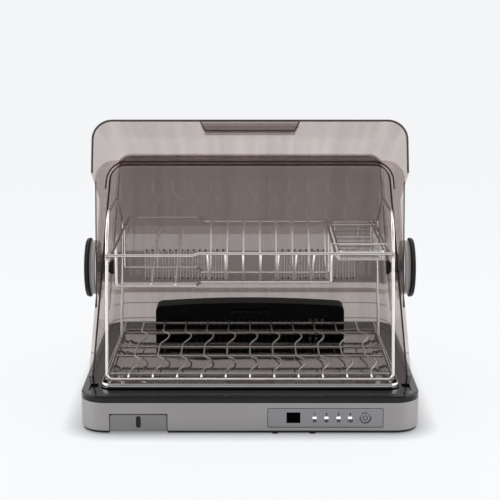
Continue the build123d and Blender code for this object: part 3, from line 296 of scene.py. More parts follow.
def rear_edge_shade(finish):
    """Painted shade on the rear cover, in place of refraction in its edges: dark lines along its cut wall 3
    mm wide, its flange's rim and its flange's sides.
    """
    x, _, z = finish.axes()
    outside, front = rear_outline(finish)
    wall = band_of(outside, -0.0032, -0.0002, 0.0003)
    flange = band_of(outside, 0.0024, 0.0048, 0.0003) * (1.0 - z.below(0.335, 0.002))
    sides = (1.0 - abs(x).below(0.2279, 0.0003)) * band_of(z, 0.160, 0.345, 0.001)
    return (front * wall.high(flange)).high(sides * 0.8)


def shut_place(finish):
    """Place on the door turned back to shut: (y, z) turned about the hinge by minus the open angle."""
    x, y, z = finish.axes()
    sine = math.sin(DOOR_OPEN)
    cosine = math.cos(DOOR_OPEN)
    up = z - PIVOT[2]
    return x, y * cosine - up * sine, y * sine + up * cosine + PIVOT[2]


def in_pocket(x, y):
    """1 within the sloping sides of the finger pocket."""
    return (abs(x) + (y + 0.2) * 0.5).below(0.0735, 0.0004)


def door_depth(finish):
    """One wall, and nearly two inside the finger pocket."""
    x, y, z = shut_place(finish)
    pocket = y.below(-0.1842, 0.0004) * in_pocket(x, y) * z.below(0.0606, 0.0004)
    return 1.0 + pocket * 0.9


def door_edge_shade(finish):
    """Painted shade along the free edge of the door, 1.6 mm deep, in place of refraction in the edge,
    without the clear end plate of its pocket.
    """
    x, y, z = shut_place(finish)
    edge = z.below(0.0586, 0.0003)
    plate = band_of(y, -0.1968, -0.1842, 0.0003) * in_pocket(x, y)
    return edge * (1.0 - plate) * 0.95


def slat_depth(finish):
    """The slats in the vents are between two and three walls deep."""
    return 1.0 + (1.0 - finish.axes()[1].below(0.1, 0.001)) * 1.6


def slat_edge_shade_and_joint(finish):
    """Painted shade at the ends of the slats, where they meet the wall, and a faint dark joint half way up.
    """
    z = finish.axes()[2]
    ends = z.below(0.1405, 0.0003) + 1.0 - z.below(0.1875, 0.0003)
    return (ends + band_of(z, 0.1634, 0.1646, 0.0003) * 0.35).low(1.0)


def brushed_finish(name, colour, stretch, roughness=0.3, depth=0.12, marks=None):
    """Brushed steel: fine lines along the sheet change its colour, gloss and normal.

    marks(finish) is 1 on dark seams and prints, which lie a little lower.
    """
    finish = Finish(name)
    lines = finish.noise(stretch, 1.0, 3.0, 0.65)
    cloud = finish.noise(EVEN, 14.0, 2.0)
    shown = finish.mix(lines * 0.8 + cloud * 0.2, scaled(colour, 0.82), scaled(colour, 1.14))
    height = lines
    if marks is not None:
        dark = marks(finish)
        shown = finish.mix(dark, shown, (0.02, 0.02, 0.02, 1.0))
        height = lines - dark * 0.8
    return finish.shade(
        Base_Color=shown,
        Metallic=1.0,
        Roughness=roughness - 0.1 + lines * 0.2,
        Normal=finish.bump(height, depth, 0.0002),
    )


def panel_seam(finish):
    """Dark seam just inside the panel's outline, a rounded rectangle."""
    x, y, z = finish.axes()
    side = (abs(x - PANEL[0]) - (PANEL_HALF[0] - PANEL_CORNER)).high(0.0)
    over = (abs(z - PANEL[1]) - (PANEL_HALF[1] - PANEL_CORNER)).high(0.0)
    outside = (side ** 2.0 + over ** 2.0) ** 0.5 - PANEL_CORNER
    return band_of(outside, -0.0006, 0.0001, 0.0002) * y.below(-0.2130, 0.0001)


def button_print(finish):
    """Print on the button's face: a ring, and inside it an arc, open at the top, with a bar in its gap."""
    x, y, z = finish.axes()
    across = abs(x - BUTTON[0])
    up = z - BUTTON[1]
    radius = (across * across + up * up) ** 0.5
    gap = across.below(0.0019, 0.0001) * (1.0 - up.below(0.0, 0.0001))
    ring = band_of(radius, 0.0067, 0.0077, 0.0001)
    arc = band_of(radius, 0.0028, 0.0038, 0.0001) * (1.0 - gap)
    bar = across.below(0.0005, 0.0001) * band_of(up, 0.0014, 0.0042, 0.0001)
    return (ring + arc + bar).low(1.0) * y.below(-0.2138, 0.0001)


def polished_finish(name, colour, roughness, wave, depth):
    """Polished steel: a mirror with slow waves from pressing and faint wiping marks."""
    finish = Finish(name)
    slow = finish.noise(EVEN, wave, 1.5)
    wiped = finish.noise((1.0, 6.0, 6.0), 60.0, 3.0)
    return finish.shade(
        Base_Color=finish.mix(wiped, scaled(colour, 0.94), scaled(colour, 1.04)),
        Metallic=1.0,
        Roughness=roughness + wiped * 0.05,
        Normal=finish.bump(slow, depth, 0.002),
    )


def moulded_finish(name, colour, roughness, grain, depth, coat=0.0, gloss=0.3):
    """Moulded plastic or rubber: a fine grain in the normal and a faint cloud in the gloss."""
    finish = Finish(name)
    fine = finish.noise(EVEN, grain, 2.0)
    cloud = finish.noise(EVEN, 18.0, 2.0)
    return finish.shade(
        Base_Color=finish.mix(cloud, scaled(colour, 0.88), scaled(colour, 1.12)),
        Roughness=roughness + (cloud - 0.5) * 0.08,
        Specular_IOR_Level=gloss,
        Coat_Weight=coat,
        Coat_Roughness=0.08,
        Normal=finish.bump(fine, depth, 0.0003),
    )


def lens_finish(name, colour, glow):
    """Milky lamp lens with a faint cloud in it, which glows a little."""
    finish = Finish(name)
    cloud = finish.noise(EVEN, 400.0, 2.0)
    return finish.shade(
        Base_Color=finish.mix(cloud, scaled(colour, 0.9), rgba(colour)),
        Roughness=0.25,
        Emission_Color=rgba(colour),
        Emission_Strength=glow,
    )


def board_finish(name, colour):
    """Solder mask with a net of copper tracks under it."""
    finish = Finish(name)
    settings = {"feature": "DISTANCE_TO_EDGE"}
    cells = finish.add("ShaderNodeTexVoronoi", settings, {"Vector": finish.place(), "Scale": 160.0})
    line = cells.value("Distance").below(0.06, 0.02)
    return finish.shade(
        Base_Color=finish.mix(line, rgba(colour), scaled(colour, 2.2)),
        Roughness=0.35,
        Normal=finish.bump(line, 0.2, 0.0002),
    )


def paint(material, *names):
    """Puts a finish on CAD nodes."""
    for name in names:
        data = NODES[name].data
        data.materials.clear()
        data.materials.append(material)


def grid_faces(rows, columns, ring):
    """Quads between neighbouring rows of a grid whose columns close; ring closes the rows as well."""
    index = np.arange(rows * columns).reshape(rows, columns)
    if ring:
        index = np.vstack([index, index[:1]])
    beside = np.roll(index, -1, axis=1)
    return np.stack([index[:-1], beside[:-1], beside[1:], index[1:]], axis=-1).reshape(-1, 4)


def rounded_path(points, reach, steps=8):
    """A line of points with each inner corner replaced by the curve (1-s)^2 a + 2s(1-s) p + s^2 b.

    a and b lie on the two runs at the given reach from the corner p, or at 0.45 of a run that is too short.
    """
    points = np.asarray(points, float)
    runs = np.diff(points, axis=0)
    length = np.linalg.norm(runs, axis=1, keepdims=True)
    unit = runs / length
    near = np.minimum(reach, 0.45 * np.minimum(length[:-1], length[1:]))
    corner = points[1:-1, None, :]
    start = corner - (unit[:-1] * near)[:, None, :]
    end = corner + (unit[1:] * near)[:, None, :]
    s = np.linspace(0.0, 1.0, steps)[None, :, None]
    curve = (1.0 - s) ** 2 * start + 2.0 * s * (1.0 - s) * corner + s ** 2 * end
    return np.vstack([points[:1], curve.reshape(-1, 3), points[-1:]])


def tube(path, wide, thick, across, sides=10):
    """An ellipse carried along a path, P + thick cos(a) n + wide sin(a) b, with n and b square to the path.

    Two more rings with no size close the ends.
    """
    path = np.asarray(path, float)
    along = np.gradient(path, axis=0)
    along /= np.linalg.norm(along, axis=1, keepdims=True)
    normal = np.cross(np.broadcast_to(np.asarray(across, float), along.shape), along)
    normal /= np.linalg.norm(normal, axis=1, keepdims=True)
    other = np.cross(along, normal)
    turn = np.linspace(0.0, 2.0 * np.pi, sides, endpoint=False)[None, :, None]
    offset = thick * np.cos(turn) * normal[:, None, :] + wide * np.sin(turn) * other[:, None, :]
    rings = path[:, None, :] + offset
    first = np.broadcast_to(path[:1, None, :], (1, sides, 3))
    last = np.broadcast_to(path[-1:, None, :], (1, sides, 3))
    return np.concatenate([first, rings, last])


def turned(profile, centre, axis, sides=72):
    """A profile of (distance along an axis, radius) pairs turned about that axis through a centre."""
    profile = np.asarray(profile, float)
    turn = np.linspace(0.0, 2.0 * np.pi, sides, endpoint=False)
    grid = np.zeros((len(profile), sides, 3))
    grid[..., axis] = profile[:, :1]
    grid[..., (axis + 1) % 3] = profile[:, 1:] * np.cos(turn)
    grid[..., (axis + 2) % 3] = profile[:, 1:] * np.sin(turn)
    return grid + np.asarray(centre, float)


def mirrored(grid):
    """The same grid beyond the middle plane, x to -x, its rows turned round so that it faces outwards."""
    return grid[::-1] * np.array([-1.0, 1.0, 1.0])


def add_piece(name, grids, material, body, stands_for=(), ring=False):
    """Joins closed grids of points into one smooth piece at the origin that rides on a body."""
    starts = np.cumsum([0] + [grid.shape[0] * grid.shape[1] for grid in grids])
    faces = [grid_faces(*grid.shape[:2], ring) + start for grid, start in zip(grids, starts)]
    points = [grid.reshape(-1, 3) for grid in grids]
    mesh = bpy.data.meshes.new(name)
    mesh.from_pydata(np.vstack(points).tolist(), [], np.vstack(faces).tolist())
    return finish_piece(name, mesh, material, body, stands_for)


def finish_piece(name, mesh, material, body, stands_for=(), smooth=True):
    """Closes poles and seams of a mesh, gives it its finish and sets it on its body."""
    work = bmesh.new()
    work.from_mesh(mesh)
    bmesh.ops.remove_doubles(work, verts=work.verts, dist=1e-6)
    bmesh.ops.dissolve_degenerate(work, edges=work.edges, dist=1e-6)
    work.to_mesh(mesh)
    work.free()
    mesh.polygons.foreach_set("use_smooth", np.full(len(mesh.polygons), smooth))
    mesh.materials.append(material)
    piece = bpy.data.objects.new(name, mesh)
    bpy.context.scene.collection.objects.link(piece)
    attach(piece, body)
    if stands_for:
        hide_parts(*stands_for)
    return piece


def rounded_ring(half_x, half_y, centre, radius, inset, steps=12):
    """Rounded rectangle drawn in by an inset: corner centre + r (cos a, sin a), a quarter turn at each."""
    r = max(radius - inset, 0.0)
    quarter = 0.5 * np.pi
    turn = (np.linspace(0.0, quarter, steps)[None, :] + quarter * np.arange(4)[:, None]).ravel()
    sign_x = np.repeat([1.0, -1.0, -1.0, 1.0], steps)
    sign_y = np.repeat([1.0, 1.0, -1.0, -1.0], steps)
    x = centre[0] + sign_x * (half_x - inset - r) + r * np.cos(turn)
    y = centre[1] + sign_y * (half_y - inset - r) + r * np.sin(turn)
    return np.column_stack([x, y])


def printed_mark(text, size, x, y, z):
    """Mesh of upright numbers that face the front, (u, v, w) set at (x + u, y - w - half, z + v)."""
    half = 0.00004
    curve = bpy.data.curves.new("mark", "FONT")
    curve.body = text
    curve.size = size
    curve.align_x = "CENTER"
    curve.align_y = "CENTER"
    curve.extrude = half
    curve.offset = 0.00030
    curve.resolution_u = 3
    holder = bpy.data.objects.new("mark", curve)
    mesh = bpy.data.meshes.new_from_object(holder)
    bpy.data.objects.remove(holder)
    bpy.data.curves.remove(curve)
    place = np.empty(len(mesh.vertices) * 3)
    mesh.vertices.foreach_get("co", place)
    place = place.reshape(-1, 3)
    upright = np.column_stack([place[:, 0] + x, y - place[:, 2] - half, place[:, 1] + z])
    mesh.vertices.foreach_set("co", upright.ravel())
    return mesh


class DryerLooks(bpy.types.PropertyGroup):
    """Colours that a user would change."""

    tint: bpy.props.FloatVectorProperty(
        name="Tint",
        description="Light that one face of a cover lets through",
        subtype="COLOR",
        default=(0.828, 0.790, 0.772),
    )
    smoke: bpy.props.FloatVectorProperty(
        name="Smoke",
        description="Body colour of the covers",
        subtype="COLOR",
        default=(0.070, 0.024, 0.012),
    )
    smoke_clear: bpy.props.FloatProperty(
        name="Smoke clear",
        description="Share that each further wall lets through",
        default=0.62,
        min=0.0,
        max=1.0,
        subtype="FACTOR",
    )
    smoke_gloss: bpy.props.FloatProperty(
        name="Smoke gloss",
        description="Share of each face that mirrors",
        default=0.075,
        min=0.0,
        max=1.0,
        subtype="FACTOR",
    )
    band: bpy.props.FloatVectorProperty(
        name="Band",
        description="Brushed steel of the base",
        subtype="COLOR",
        default=(0.315, 0.30, 0.295),
    )
    panel: bpy.props.FloatVectorProperty(
        name="Panel",
        description="Brushed steel of the control panel",
        subtype="COLOR",
        default=(0.235, 0.235, 0.24),
    )
    drawer: bpy.props.FloatVectorProperty(
        name="Drawer",
        description="Brushed steel of the drip drawer",
        subtype="COLOR",
        default=(0.20, 0.196, 0.195),
    )
    tray: bpy.props.FloatVectorProperty(
        name="Tray",
        description="Polished steel of the drain tray",
        subtype="COLOR",
        default=(0.43, 0.415, 0.405),
    )
    wire: bpy.props.FloatVectorProperty(
        name="Wire",
        description="Polished stainless wire",
        subtype="COLOR",
        default=(0.60, 0.575, 0.55),
    )
    black: bpy.props.FloatVectorProperty(
        name="Black",
        description="Black mouldings",
        subtype="COLOR",
        default=(0.006, 0.006, 0.0065),
    )
    hub: bpy.props.FloatVectorProperty(
        name="Hub",
        description="Grey hinge hubs",
        subtype="COLOR",
        default=(0.34, 0.33, 0.32),
    )


class DryerStage(bpy.types.PropertyGroup):
    """Floor, light and camera."""

    floor: bpy.props.FloatVectorProperty(
        name="Floor",
        description="Colour of the floor",
        subtype="COLOR",
        default=(0.920, 0.928, 0.945),
    )
    fill: bpy.props.FloatProperty(
        name="Fill",
        description="Strength of the even light",
        default=0.74,
        min=0.0,
    )
    front: bpy.props.FloatProperty(
        name="Front",
        description="Brightness that metal sees in front",
        default=0.3,
        min=0.0,
        max=1.0,
    )
    key: bpy.props.FloatProperty(
        name="Key",
        description="Strength of the wide lamp above",
        default=0.65,
        min=0.0,
    )
    side: bpy.props.FloatProperty(
        name="Side",
        description="Power of each side lamp in watts",
        default=14.0,
        min=0.0,
    )
    lens: bpy.props.FloatProperty(
        name="Lens",
        description="Focal length of the camera",
        default=99.86,
        subtype="DISTANCE_CAMERA",
    )


class DRYER_OT_base(bpy.types.Operator):
    """Finishes of the base: band, deck, pan, feet and gland, and the pressed drain tray."""

    bl_idname = "dryer.base"
    bl_label = "Dress the base"

    # Section of the tray in mm: way in from its outline, height, and extra height at the front.
    TRAY_UNDER = (
        (30.0, 48.8, 0.0), (22.0, 48.8, 0.0), (15.0, 50.2, 0.0), (11.5, 52.9, 0.0), (1.5, 53.1, 0.0),
    )
    TRAY_OVER = (
        (0.3, 53.3, 0.0), (0.0, 54.0, 0.0), (0.0, 55.6, 4.0), (0.1, 56.6, 6.0), (0.5, 57.3, 7.0),
        (1.2, 57.6, 7.4), (2.1, 57.6, 7.4), (2.9, 57.2, 7.0), (3.5, 56.6, 6.0), (4.2, 55.8, 4.0),
        (5.4, 54.9, 1.5), (7.2, 54.4, 0.2), (10.5, 54.2, 0.0), (12.0, 53.8, 0.0), (14.0, 53.2, 0.0),
        (16.5, 52.6, 0.0), (19.5, 52.2, 0.0), (24.0, 52.0, 0.0), (30.0, 52.0, 0.0),
    )
    # Outline of the tray and its drain in metres.
    TRAY_HALF = (0.217, 0.169)
    TRAY_MIDDLE = (0.0, -0.012)
    TRAY_CORNER = 0.018
    TRAY_FLOOR = 0.0520
    TRAY_BELOW = 0.0488
    DRAIN = (-0.160, -0.129)
    DRAIN_RADIUS = 0.005

    def execute(self, context):
        looks = context.scene.dryer_looks
        paint(brushed_finish("band_steel", looks.band, BAND_LINES, 0.40, 0.4), "steel_band")
        paint(brushed_finish("screw_steel", (0.5, 0.5, 0.5), (200.0, 200.0, 200.0), 0.4), "pan_screws")
        paint(moulded_finish("deck_black", looks.black, 0.12, 900.0, 0.02, 0.0, 0.24), "top_deck")
        paint(moulded_finish("pan_black", looks.black, 0.5, 1600.0, 0.2), "bottom_pan", "cord_gland")
        paint(moulded_finish("foot_rubber", (0.02, 0.02, 0.02), 0.8, 2200.0, 0.35), "rubber_feet")
        steel = polished_finish("tray_steel", looks.tray, 0.04, 14.0, 0.35)
        add_piece("tray_shell", [self.tray()], steel, "base", ("drain_tray",), True)
        return {"FINISHED"}

    def tray(self):
        """Tray: its section carried round a rounded rectangle, the floor drawn in to the drain and back.

        The extra height grows evenly from nothing at the back edge to its whole at the front edge.
        """
        under = [self.tray_ring(*row) for row in self.TRAY_UNDER]
        over = [self.tray_ring(*row) for row in self.TRAY_OVER]
        top = [self.drain_ring(over[-1], share, self.TRAY_FLOOR) for share in (0.4, 0.8, 0.97)]
        mouth = [self.drain_ring(over[-1], 1.0, z) for z in (0.0514, 0.0500, self.TRAY_BELOW)]
        below = [self.drain_ring(over[-1], share, self.TRAY_BELOW) for share in (0.8, 0.4)]
        return np.stack(under + over + top + mouth + below)

    def tray_ring(self, inset, height, extra):
        """One ring of the section, in metres."""
        flat = rounded_ring(*self.TRAY_HALF, self.TRAY_MIDDLE, self.TRAY_CORNER, inset / 1000.0)
        back = (flat[:, 1] - self.TRAY_MIDDLE[1]) / (2.0 * self.TRAY_HALF[1])
        ahead = np.clip(0.5 - back, 0.0, 1.0)
        return np.column_stack([flat, (height + extra * ahead) / 1000.0])

    def drain_ring(self, ring, share, z):
        """Ring between the tray's floor line, share 0, and the drain's round mouth, share 1."""
        spoke = ring[:, :2] - np.array(self.DRAIN)
        mouth = self.DRAIN_RADIUS * spoke / np.linalg.norm(spoke, axis=1, keepdims=True)
        flat = np.array(self.DRAIN) + spoke * (1.0 - share) + mouth * share
        return np.column_stack([flat, np.full(len(flat), z)])


class DRYER_OT_drawer(bpy.types.Operator):
    """Finishes of the drip drawer."""

    bl_idname = "dryer.drawer"
    bl_label = "Dress the drip drawer"

    def execute(self, context):
        looks = context.scene.dryer_looks
        paint(brushed_finish("drawer_steel", looks.drawer, BAND_LINES), "drawer_front")
        paint(moulded_finish("pull_black", looks.black, 0.35, 1200.0, 0.1), "drawer_pull")
        paint(moulded_finish("bin_black", looks.black, 0.45, 1500.0, 0.2), "drawer_bin")
        return {"FINISHED"}


class DRYER_OT_controls(bpy.types.Operator):
    """Finishes of the control panel, and the plain numbers printed over and under its lamps."""

    bl_idname = "dryer.controls"
    bl_label = "Dress the controls"

    LAMPS = (0.0925, 0.1095, 0.1268, 0.1433)
    FACE = -0.2136
    OVER = 0.0302
    UNDER = 0.0200

    def execute(self, context):
        looks = context.scene.dryer_looks
        for name, marks, node in (
            ("panel_steel", panel_seam, "panel_plate"),
            ("button_steel", button_print, "start_button"),
        ):
            paint(brushed_finish(name, looks.panel, PANEL_LINES, 0.28, 0.12, marks), node)
        glass = moulded_finish("display_glass", (0.001, 0.001, 0.001), 0.1, 300.0, 0.0, 0.0, 0.0)
        paint(glass, "display_window")
        paint(lens_finish("lamp_lens", (0.92, 0.93, 0.95), 0.6), "indicator_lenses")
        paint(board_finish("board_mask", (0.02, 0.11, 0.05)), "circuit_board")
        dark = moulded_finish("print_dark", (0.012, 0.012, 0.013), 0.5, 2000.0, 0.0)
        for x, place, minutes in zip(self.LAMPS, "1234", ("30", "60", "90", "120")):
            under = printed_mark(minutes, 0.0054, x, self.FACE, self.UNDER)
            finish_piece("minutes_" + minutes, under, dark, "base", (), False)
            over = printed_mark(place, 0.0052, x, self.FACE, self.OVER)
            finish_piece("course_" + place, over, dark, "base", (), False)
        return {"FINISHED"}


class DRYER_OT_blower(bpy.types.Operator):
    """Finishes of the hot-air tower and what it holds."""

    bl_idname = "dryer.blower"
    bl_label = "Dress the blower"

    def execute(self, context):
        looks = context.scene.dryer_looks
        tower = moulded_finish("tower_black", scaled(looks.black, 1.3), 0.35, 900.0, 0.03, 0.0, 0.015)
        paint(tower, "tower_shell")
        paint(moulded_finish("wheel_black", looks.black, 0.5, 1200.0, 0.15), "fan_impeller", "fan_bearing")
        paint(polished_finish("motor_plate", (0.45, 0.45, 0.46), 0.3, 40.0, 0.05), "fan_motor")
        paint(polished_finish("shaft_steel", (0.6, 0.6, 0.6), 0.15, 80.0, 0.02), "fan_shaft")
        alloy = brushed_finish("heater_alloy", (0.06, 0.06, 0.062), (300.0, 300.0, 20.0), 0.5)
        paint(alloy, "heater_block")
        return {"FINISHED"}


class DRYER_OT_covers(bpy.types.Operator):
    """Finishes of the two smoked covers, and the slats in the rear cover's vents."""

    bl_idname = "dryer.covers"
    bl_label = "Dress the covers"

    VENTS = (-0.110, 0.110)
    SLATS = 14
    SLAT_PITCH = 0.00995
    SLAT_BACK = 0.1845
    SLAT_ENDS = (0.1387, 0.1893)

    def execute(self, context):
        looks = context.scene.dryer_looks
        paint(smoke_finish("rear_smoke", looks, rear_depth, rear_edge_shade), "rear_cover")
        paint(smoke_finish("door_smoke", looks, door_depth, door_edge_shade), "front_cover")
        aside = [(k - 0.5 * (self.SLATS - 1)) * self.SLAT_PITCH for k in range(self.SLATS)]
        slats = [self.slat(centre + x) for centre in self.VENTS for x in aside]
        smoke = smoke_finish("slat_smoke", looks, slat_depth, slat_edge_shade_and_joint)
        add_piece("vent_slats", slats, smoke, "base", ())
        return {"FINISHED"}

    def slat(self, x):
        """Upright smoked slat in one slot of the back wall: a flat ellipse carried up the slot."""
        heights = np.linspace(*self.SLAT_ENDS, 5)
        path = np.column_stack([np.full(5, x), np.full(5, self.SLAT_BACK), heights])
        return tube(path, 0.0027, 0.0007, SIDEWAYS, 16)


class DRYER_OT_hinges(bpy.types.Operator):
    """Turned hinge caps and stepped hubs with a bright ring, and the pins between them."""

    bl_idname = "dryer.hinges"
    bl_label = "Build the hinges"

    # Profiles in mm, distance from the middle plane and radius; the cap starts and ends on its axis.
    CAP = (
        (246.0, 0.0), (246.0, 44.2), (246.3, 45.3), (247.2, 46.0), (249.4, 46.0),
        (249.7, 45.6), (250.0, 45.2), (250.5, 45.2), (250.8, 45.5), (251.6, 45.3),
        (252.8, 44.3), (253.6, 42.6), (253.9, 40.5), (253.9, 37.5), (253.5, 36.6),
        (252.6, 36.0), (252.1, 34.8), (252.2, 30.0), (252.5, 20.0), (252.7, 9.0),
        (252.7, 0.0),
    )
    HUB = (
        (234.3, 11.0), (234.3, 38.6), (235.0, 39.4), (237.2, 39.4), (237.6, 40.0),
        (238.0, 41.5), (238.8, 42.0), (243.2, 42.0), (243.6, 41.4), (244.2, 41.4),
        (244.6, 42.0), (245.9, 42.0), (245.9, 11.0),
    )
    RING = (
        (234.3, 39.0), (234.3, 41.4), (234.7, 42.3), (235.6, 42.7), (236.6, 42.3),
        (237.0, 41.4), (237.0, 39.0),
    )

    def execute(self, context):
        looks = context.scene.dryer_looks
        black = moulded_finish("cap_black", scaled(looks.black, 1.3), 0.42, 1500.0, 0.1, 0.0, 0.17)
        grey = moulded_finish("hub_grey", looks.hub, 0.25, 900.0, 0.03, 0.2)
        bright = moulded_finish("hub_ring_white", (0.75, 0.74, 0.73), 0.3, 900.0, 0.03, 0.2)
        pin = moulded_finish("pin_black", looks.black, 0.4, 1200.0, 0.1)
        for side in ("left", "right"):
            turn = mirrored if side == "left" else np.array
            rows = (np.array(profile) / 1000.0 for profile in (self.CAP, self.HUB, self.RING))
            cap, hub, ring = (turn(turned(profile, PIVOT, 0)) for profile in rows)
            add_piece("cap_" + side, [cap], black, "door", ("hinge_cap_" + side,))
            add_piece("hub_" + side, [hub], grey, "door", ("hinge_hub_" + side,), True)
            add_piece("hub_ring_" + side, [ring], bright, "door", (), True)
            paint(pin, "hinge_pin_" + side, "hinge_washer_" + side)
        return {"FINISHED"}


class DRYER_OT_racks(bpy.types.Operator):
    """Finishes of the wire racks and the cutlery basket, with smoothly bent plate wires and dividers."""

    bl_idname = "dryer.racks"
    bl_label = "Dress the racks"

    # Radius of the thin wires, and heights of the plate wires, of the low rails and of a hairpin's top.
    THIN = 0.0012
    PLATE = 0.07348
    LOW = 0.19628
    TALL = 0.246

    def execute(self, context):
        looks = context.scene.dryer_looks
        wire = self.steel("rack_wire", looks.wire, 0.12)
        # Painted light on one polished wire: darker rails are painted shade; lighter hoops, plate wires,
        # dividers and hairpins are painted highlights.
        cross = self.steel("rail_wire_painted_dark", scaled(looks.wire, 0.62), 0.14)
        plate = self.steel("plate_wire", (0.86, 0.86, 0.83), 0.28)
        hoop = self.steel("hoop_wire_painted_bright", scaled(looks.wire, 1.2), 0.24)
        bent = self.steel("bent_wire_painted_bright", (0.93, 0.93, 0.91), 0.34)
        paint(hoop, "rack_hoops")
        paint(cross, "rack_rails")
        paint(wire, "rack_hooks", "upper_frame", "low_rails", "basket_frame", "basket_wires")
        waves = [self.wire(self.wave(k), 0.011) for k in range(11)]
        add_piece("plate_wires", waves, plate, "base", ("wavy_wires",))
        steps = [self.wire(self.divider(k), 0.016) for k in range(8)]
        add_piece("divider_bends", steps, bent, "upper_rack", ("divider_wires",))
        pins = [self.wire(self.hairpin(x), 0.014) for x in (-0.146, -0.1105)]
        add_piece("hairpin_bends", pins, bent, "upper_rack", ("hairpins",))
        return {"FINISHED"}

    def steel(self, name, colour, roughness):
        """Drawn wire: polished, with hardly any wave."""
        return polished_finish(name, colour, roughness, 120.0, 0.03)

    def wire(self, points, reach):
        """Round wire along a line of points with its corners bent."""
        return tube(rounded_path(points, reach), self.THIN, self.THIN, SIDEWAYS)

    def wave(self, k):
        """Plate wire k of 11: straight over the rails, stepped aside by 12 mm in two spans between them."""
        x = (k - 5) * 0.0354
        z = self.PLATE
        points = [(x, -0.174, z)]
        for start, end in ((-0.139, -0.064), (0.009, 0.080)):
            third = (end - start) / 3.0
            points.append((x, start, z))
            points.append((x + 0.012, start + third, z + 0.003))
            points.append((x + 0.012, end - third, z + 0.003))
            points.append((x, end, z))
        points.append((x, 0.151, z))
        return points

    def divider(self, k):
        """Divider k of 8: from the front rail down to the low rails and up again to the rear rail."""
        x = -0.061 + 0.0255 * k
        low = self.LOW
        profile = ((-0.1764, 0.258), (-0.082, low), (-0.005, low), (0.036, 0.255), (0.0714, 0.258))
        return [(x, y, z) for y, z in profile]

    def hairpin(self, x):
        """Hairpin at x: a tall loop from one low rail to the other."""
        low = self.LOW
        tall = self.TALL
        profile = ((-0.108, low), (-0.100, low), (0.050, tall), (0.098, tall), (0.032, low), (0.024, low))
        return [(x, y, z) for y, z in profile]


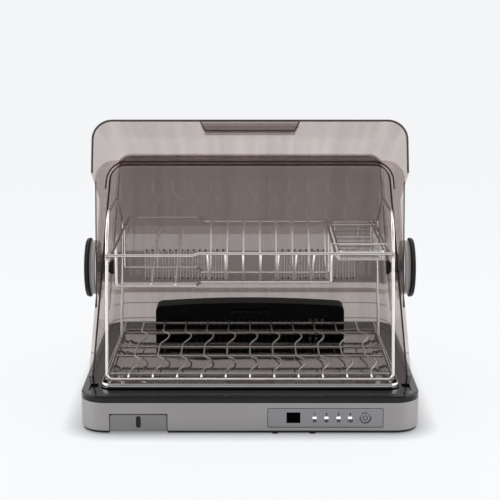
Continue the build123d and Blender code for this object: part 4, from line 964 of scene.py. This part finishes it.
class DRYER_OT_stage(bpy.types.Operator):
    """Pale floor, soft light and the camera."""

    bl_idname = "dryer.stage"
    bl_label = "Make the stage"

    # Metres and degrees: the side lamps stand at plus and minus the first number of their place.
    FLOOR_HALF = 40.0
    LAMP_PLACE = (1.25, -0.12, 0.6)
    LAMP_TURN = (85.0, 84.0)
    LAMP_SIZE = (1.3, 1.6)
    SUN_LEAN = -12.0
    SUN_WIDTH = 75.0
    CAMERA_PLACE = (0.0, -2.1105, 0.6615)
    CAMERA_TILT = 11.651

    def execute(self, context):
        stage = context.scene.dryer_stage
        self.floor(stage)
        self.world(context.scene, stage)
        self.sun(stage.key)
        x, y, z = self.LAMP_PLACE
        lean, swing = (math.radians(angle) for angle in self.LAMP_TURN)
        for name, side in (("left_lamp", -1.0), ("right_lamp", 1.0)):
            self.lamp(name, (x * side, y, z), (lean, 0.0, swing * side), self.LAMP_SIZE, stage.side)
        self.camera(context.scene, stage)
        context.scene.view_settings.view_transform = "Standard"
        return {"FINISHED"}

    def floor(self, stage):
        """Flat square sheet, corners from one grid of signs; seen pale, with a painted contact shadow near
        the base.
        """
        signs = np.array([(-1, -1), (1, -1), (1, 1), (-1, 1)], float)
        corners = np.column_stack([signs * self.FLOOR_HALF, np.zeros(4)])
        mesh = bpy.data.meshes.new("floor")
        mesh.from_pydata(corners.tolist(), [], [(0, 1, 2, 3)])
        sheet = bpy.data.objects.new("floor", mesh)
        bpy.context.scene.collection.objects.link(sheet)
        finish = Finish("floor_paper")
        paper = finish.add("ShaderNodeBsdfDiffuse", None, {"Color": rgba(stage.floor)})
        # Painted shadow: ambient occlusion darkens the floor's glow towards 0.4 of its colour near the
        # object.
        near = finish.add("ShaderNodeAmbientOcclusion", {"samples": 12}, {"Distance": 0.035}).value("AO")
        contact_shadow = near ** 2.5
        shown = finish.mix(contact_shadow, scaled(stage.floor, 0.40), rgba(stage.floor))
        glow = finish.add("ShaderNodeEmission", None, {"Color": shown})
        seen = finish.add("ShaderNodeLightPath").value("Is Camera Ray") * 0.85
        both = finish.add("ShaderNodeMixShader", None, {0: seen, 1: paper.out(), 2: glow.out()})
        finish.add("ShaderNodeOutputMaterial", None, {"Surface": both.out()})
        mesh.materials.append(finish.material)

    def world(self, scene, stage):
        """Even light; camera and smoked plastic see a pale backdrop, metal sees a dimmer room in front."""
        world = bpy.data.worlds.new("studio")
        world.use_nodes = True
        scene.world = world
        finish = Finish("studio", world.node_tree)
        path = finish.add("ShaderNodeLightPath")
        toward = finish.add("ShaderNodeTexCoord").out("Generated")
        heading = finish.add("ShaderNodeSeparateXYZ", None, {"Vector": toward})
        ahead = heading.value("Y").below(-0.45, 0.35)
        room = 1.0 - ahead * (1.0 - stage.front)
        clear = path.value("Is Camera Ray").high(path.value("Is Transmission Ray"))
        gloss = path.value("Is Glossy Ray")
        strength = stage.fill + clear * (1.0 - stage.fill) + gloss * (room - stage.fill)
        back = finish.add("ShaderNodeBackground", None, {"Color": rgba(stage.floor), "Strength": strength})
        finish.add("ShaderNodeOutputWorld", None, {"Surface": back.out()})

    def sun(self, strength):
        """Wide soft light from above and a little behind, the same all over the floor."""
        data = bpy.data.lights.new("key_lamp", "SUN")
        data.energy = strength
        data.angle = math.radians(self.SUN_WIDTH)
        lamp = bpy.data.objects.new("key_lamp", data)
        lamp.rotation_euler = (math.radians(self.SUN_LEAN), 0.0, 0.0)
        bpy.context.scene.collection.objects.link(lamp)

    def lamp(self, name, place, turn, size, power):
        """Rectangular soft lamp."""
        data = bpy.data.lights.new(name, "AREA")
        data.shape = "RECTANGLE"
        data.size, data.size_y = size
        data.energy = power
        lamp = bpy.data.objects.new(name, data)
        lamp.location = place
        lamp.rotation_euler = turn
        bpy.context.scene.collection.objects.link(lamp)

    def camera(self, scene, stage):
        """Camera at the photograph's height and distance, tilted a little down."""
        data = bpy.data.cameras.new("camera")
        data.lens = stage.lens
        data.sensor_width = 36.0
        camera = bpy.data.objects.new("camera", data)
        camera.location = self.CAMERA_PLACE
        camera.rotation_euler = (math.radians(90.0 - self.CAMERA_TILT), 0.0, 0.0)
        scene.collection.objects.link(camera)
        scene.camera = camera


class DRYER_PT_sidebar(bpy.types.Panel):
    """Lists the dryer's operators and settings."""

    bl_idname = "DRYER_PT_sidebar"
    bl_label = "Dish dryer"
    bl_space_type = "VIEW_3D"
    bl_region_type = "UI"
    bl_category = "Dryer"

    def draw(self, context):
        for operator in OPERATORS:
            self.layout.operator(operator.bl_idname)
        for group in (context.scene.dryer_looks, context.scene.dryer_stage):
            for name in group.bl_rna.properties.keys():
                if name not in ("rna_type", "name"):
                    self.layout.prop(group, name)


OPERATORS = (
    DRYER_OT_base,
    DRYER_OT_drawer,
    DRYER_OT_controls,
    DRYER_OT_blower,
    DRYER_OT_covers,
    DRYER_OT_hinges,
    DRYER_OT_racks,
    DRYER_OT_stage,
)
CLASSES = (DryerLooks, DryerStage) + OPERATORS + (DRYER_PT_sidebar,)


def register():
    """Registers the classes and hangs the settings on the scene."""
    for item in CLASSES:
        bpy.utils.register_class(item)
    bpy.types.Scene.dryer_looks = bpy.props.PointerProperty(type=DryerLooks)
    bpy.types.Scene.dryer_stage = bpy.props.PointerProperty(type=DryerStage)


def unregister():
    """Takes the settings and the classes away again."""
    del bpy.types.Scene.dryer_stage
    del bpy.types.Scene.dryer_looks
    for item in reversed(CLASSES):
        bpy.utils.unregister_class(item)


def main():
    register()
    bpy.ops.dryer.base()
    bpy.ops.dryer.drawer()
    bpy.ops.dryer.controls()
    bpy.ops.dryer.blower()
    bpy.ops.dryer.covers()
    bpy.ops.dryer.hinges()
    bpy.ops.dryer.racks()
    bpy.ops.dryer.stage()


if __name__ == "__main__":
    main()
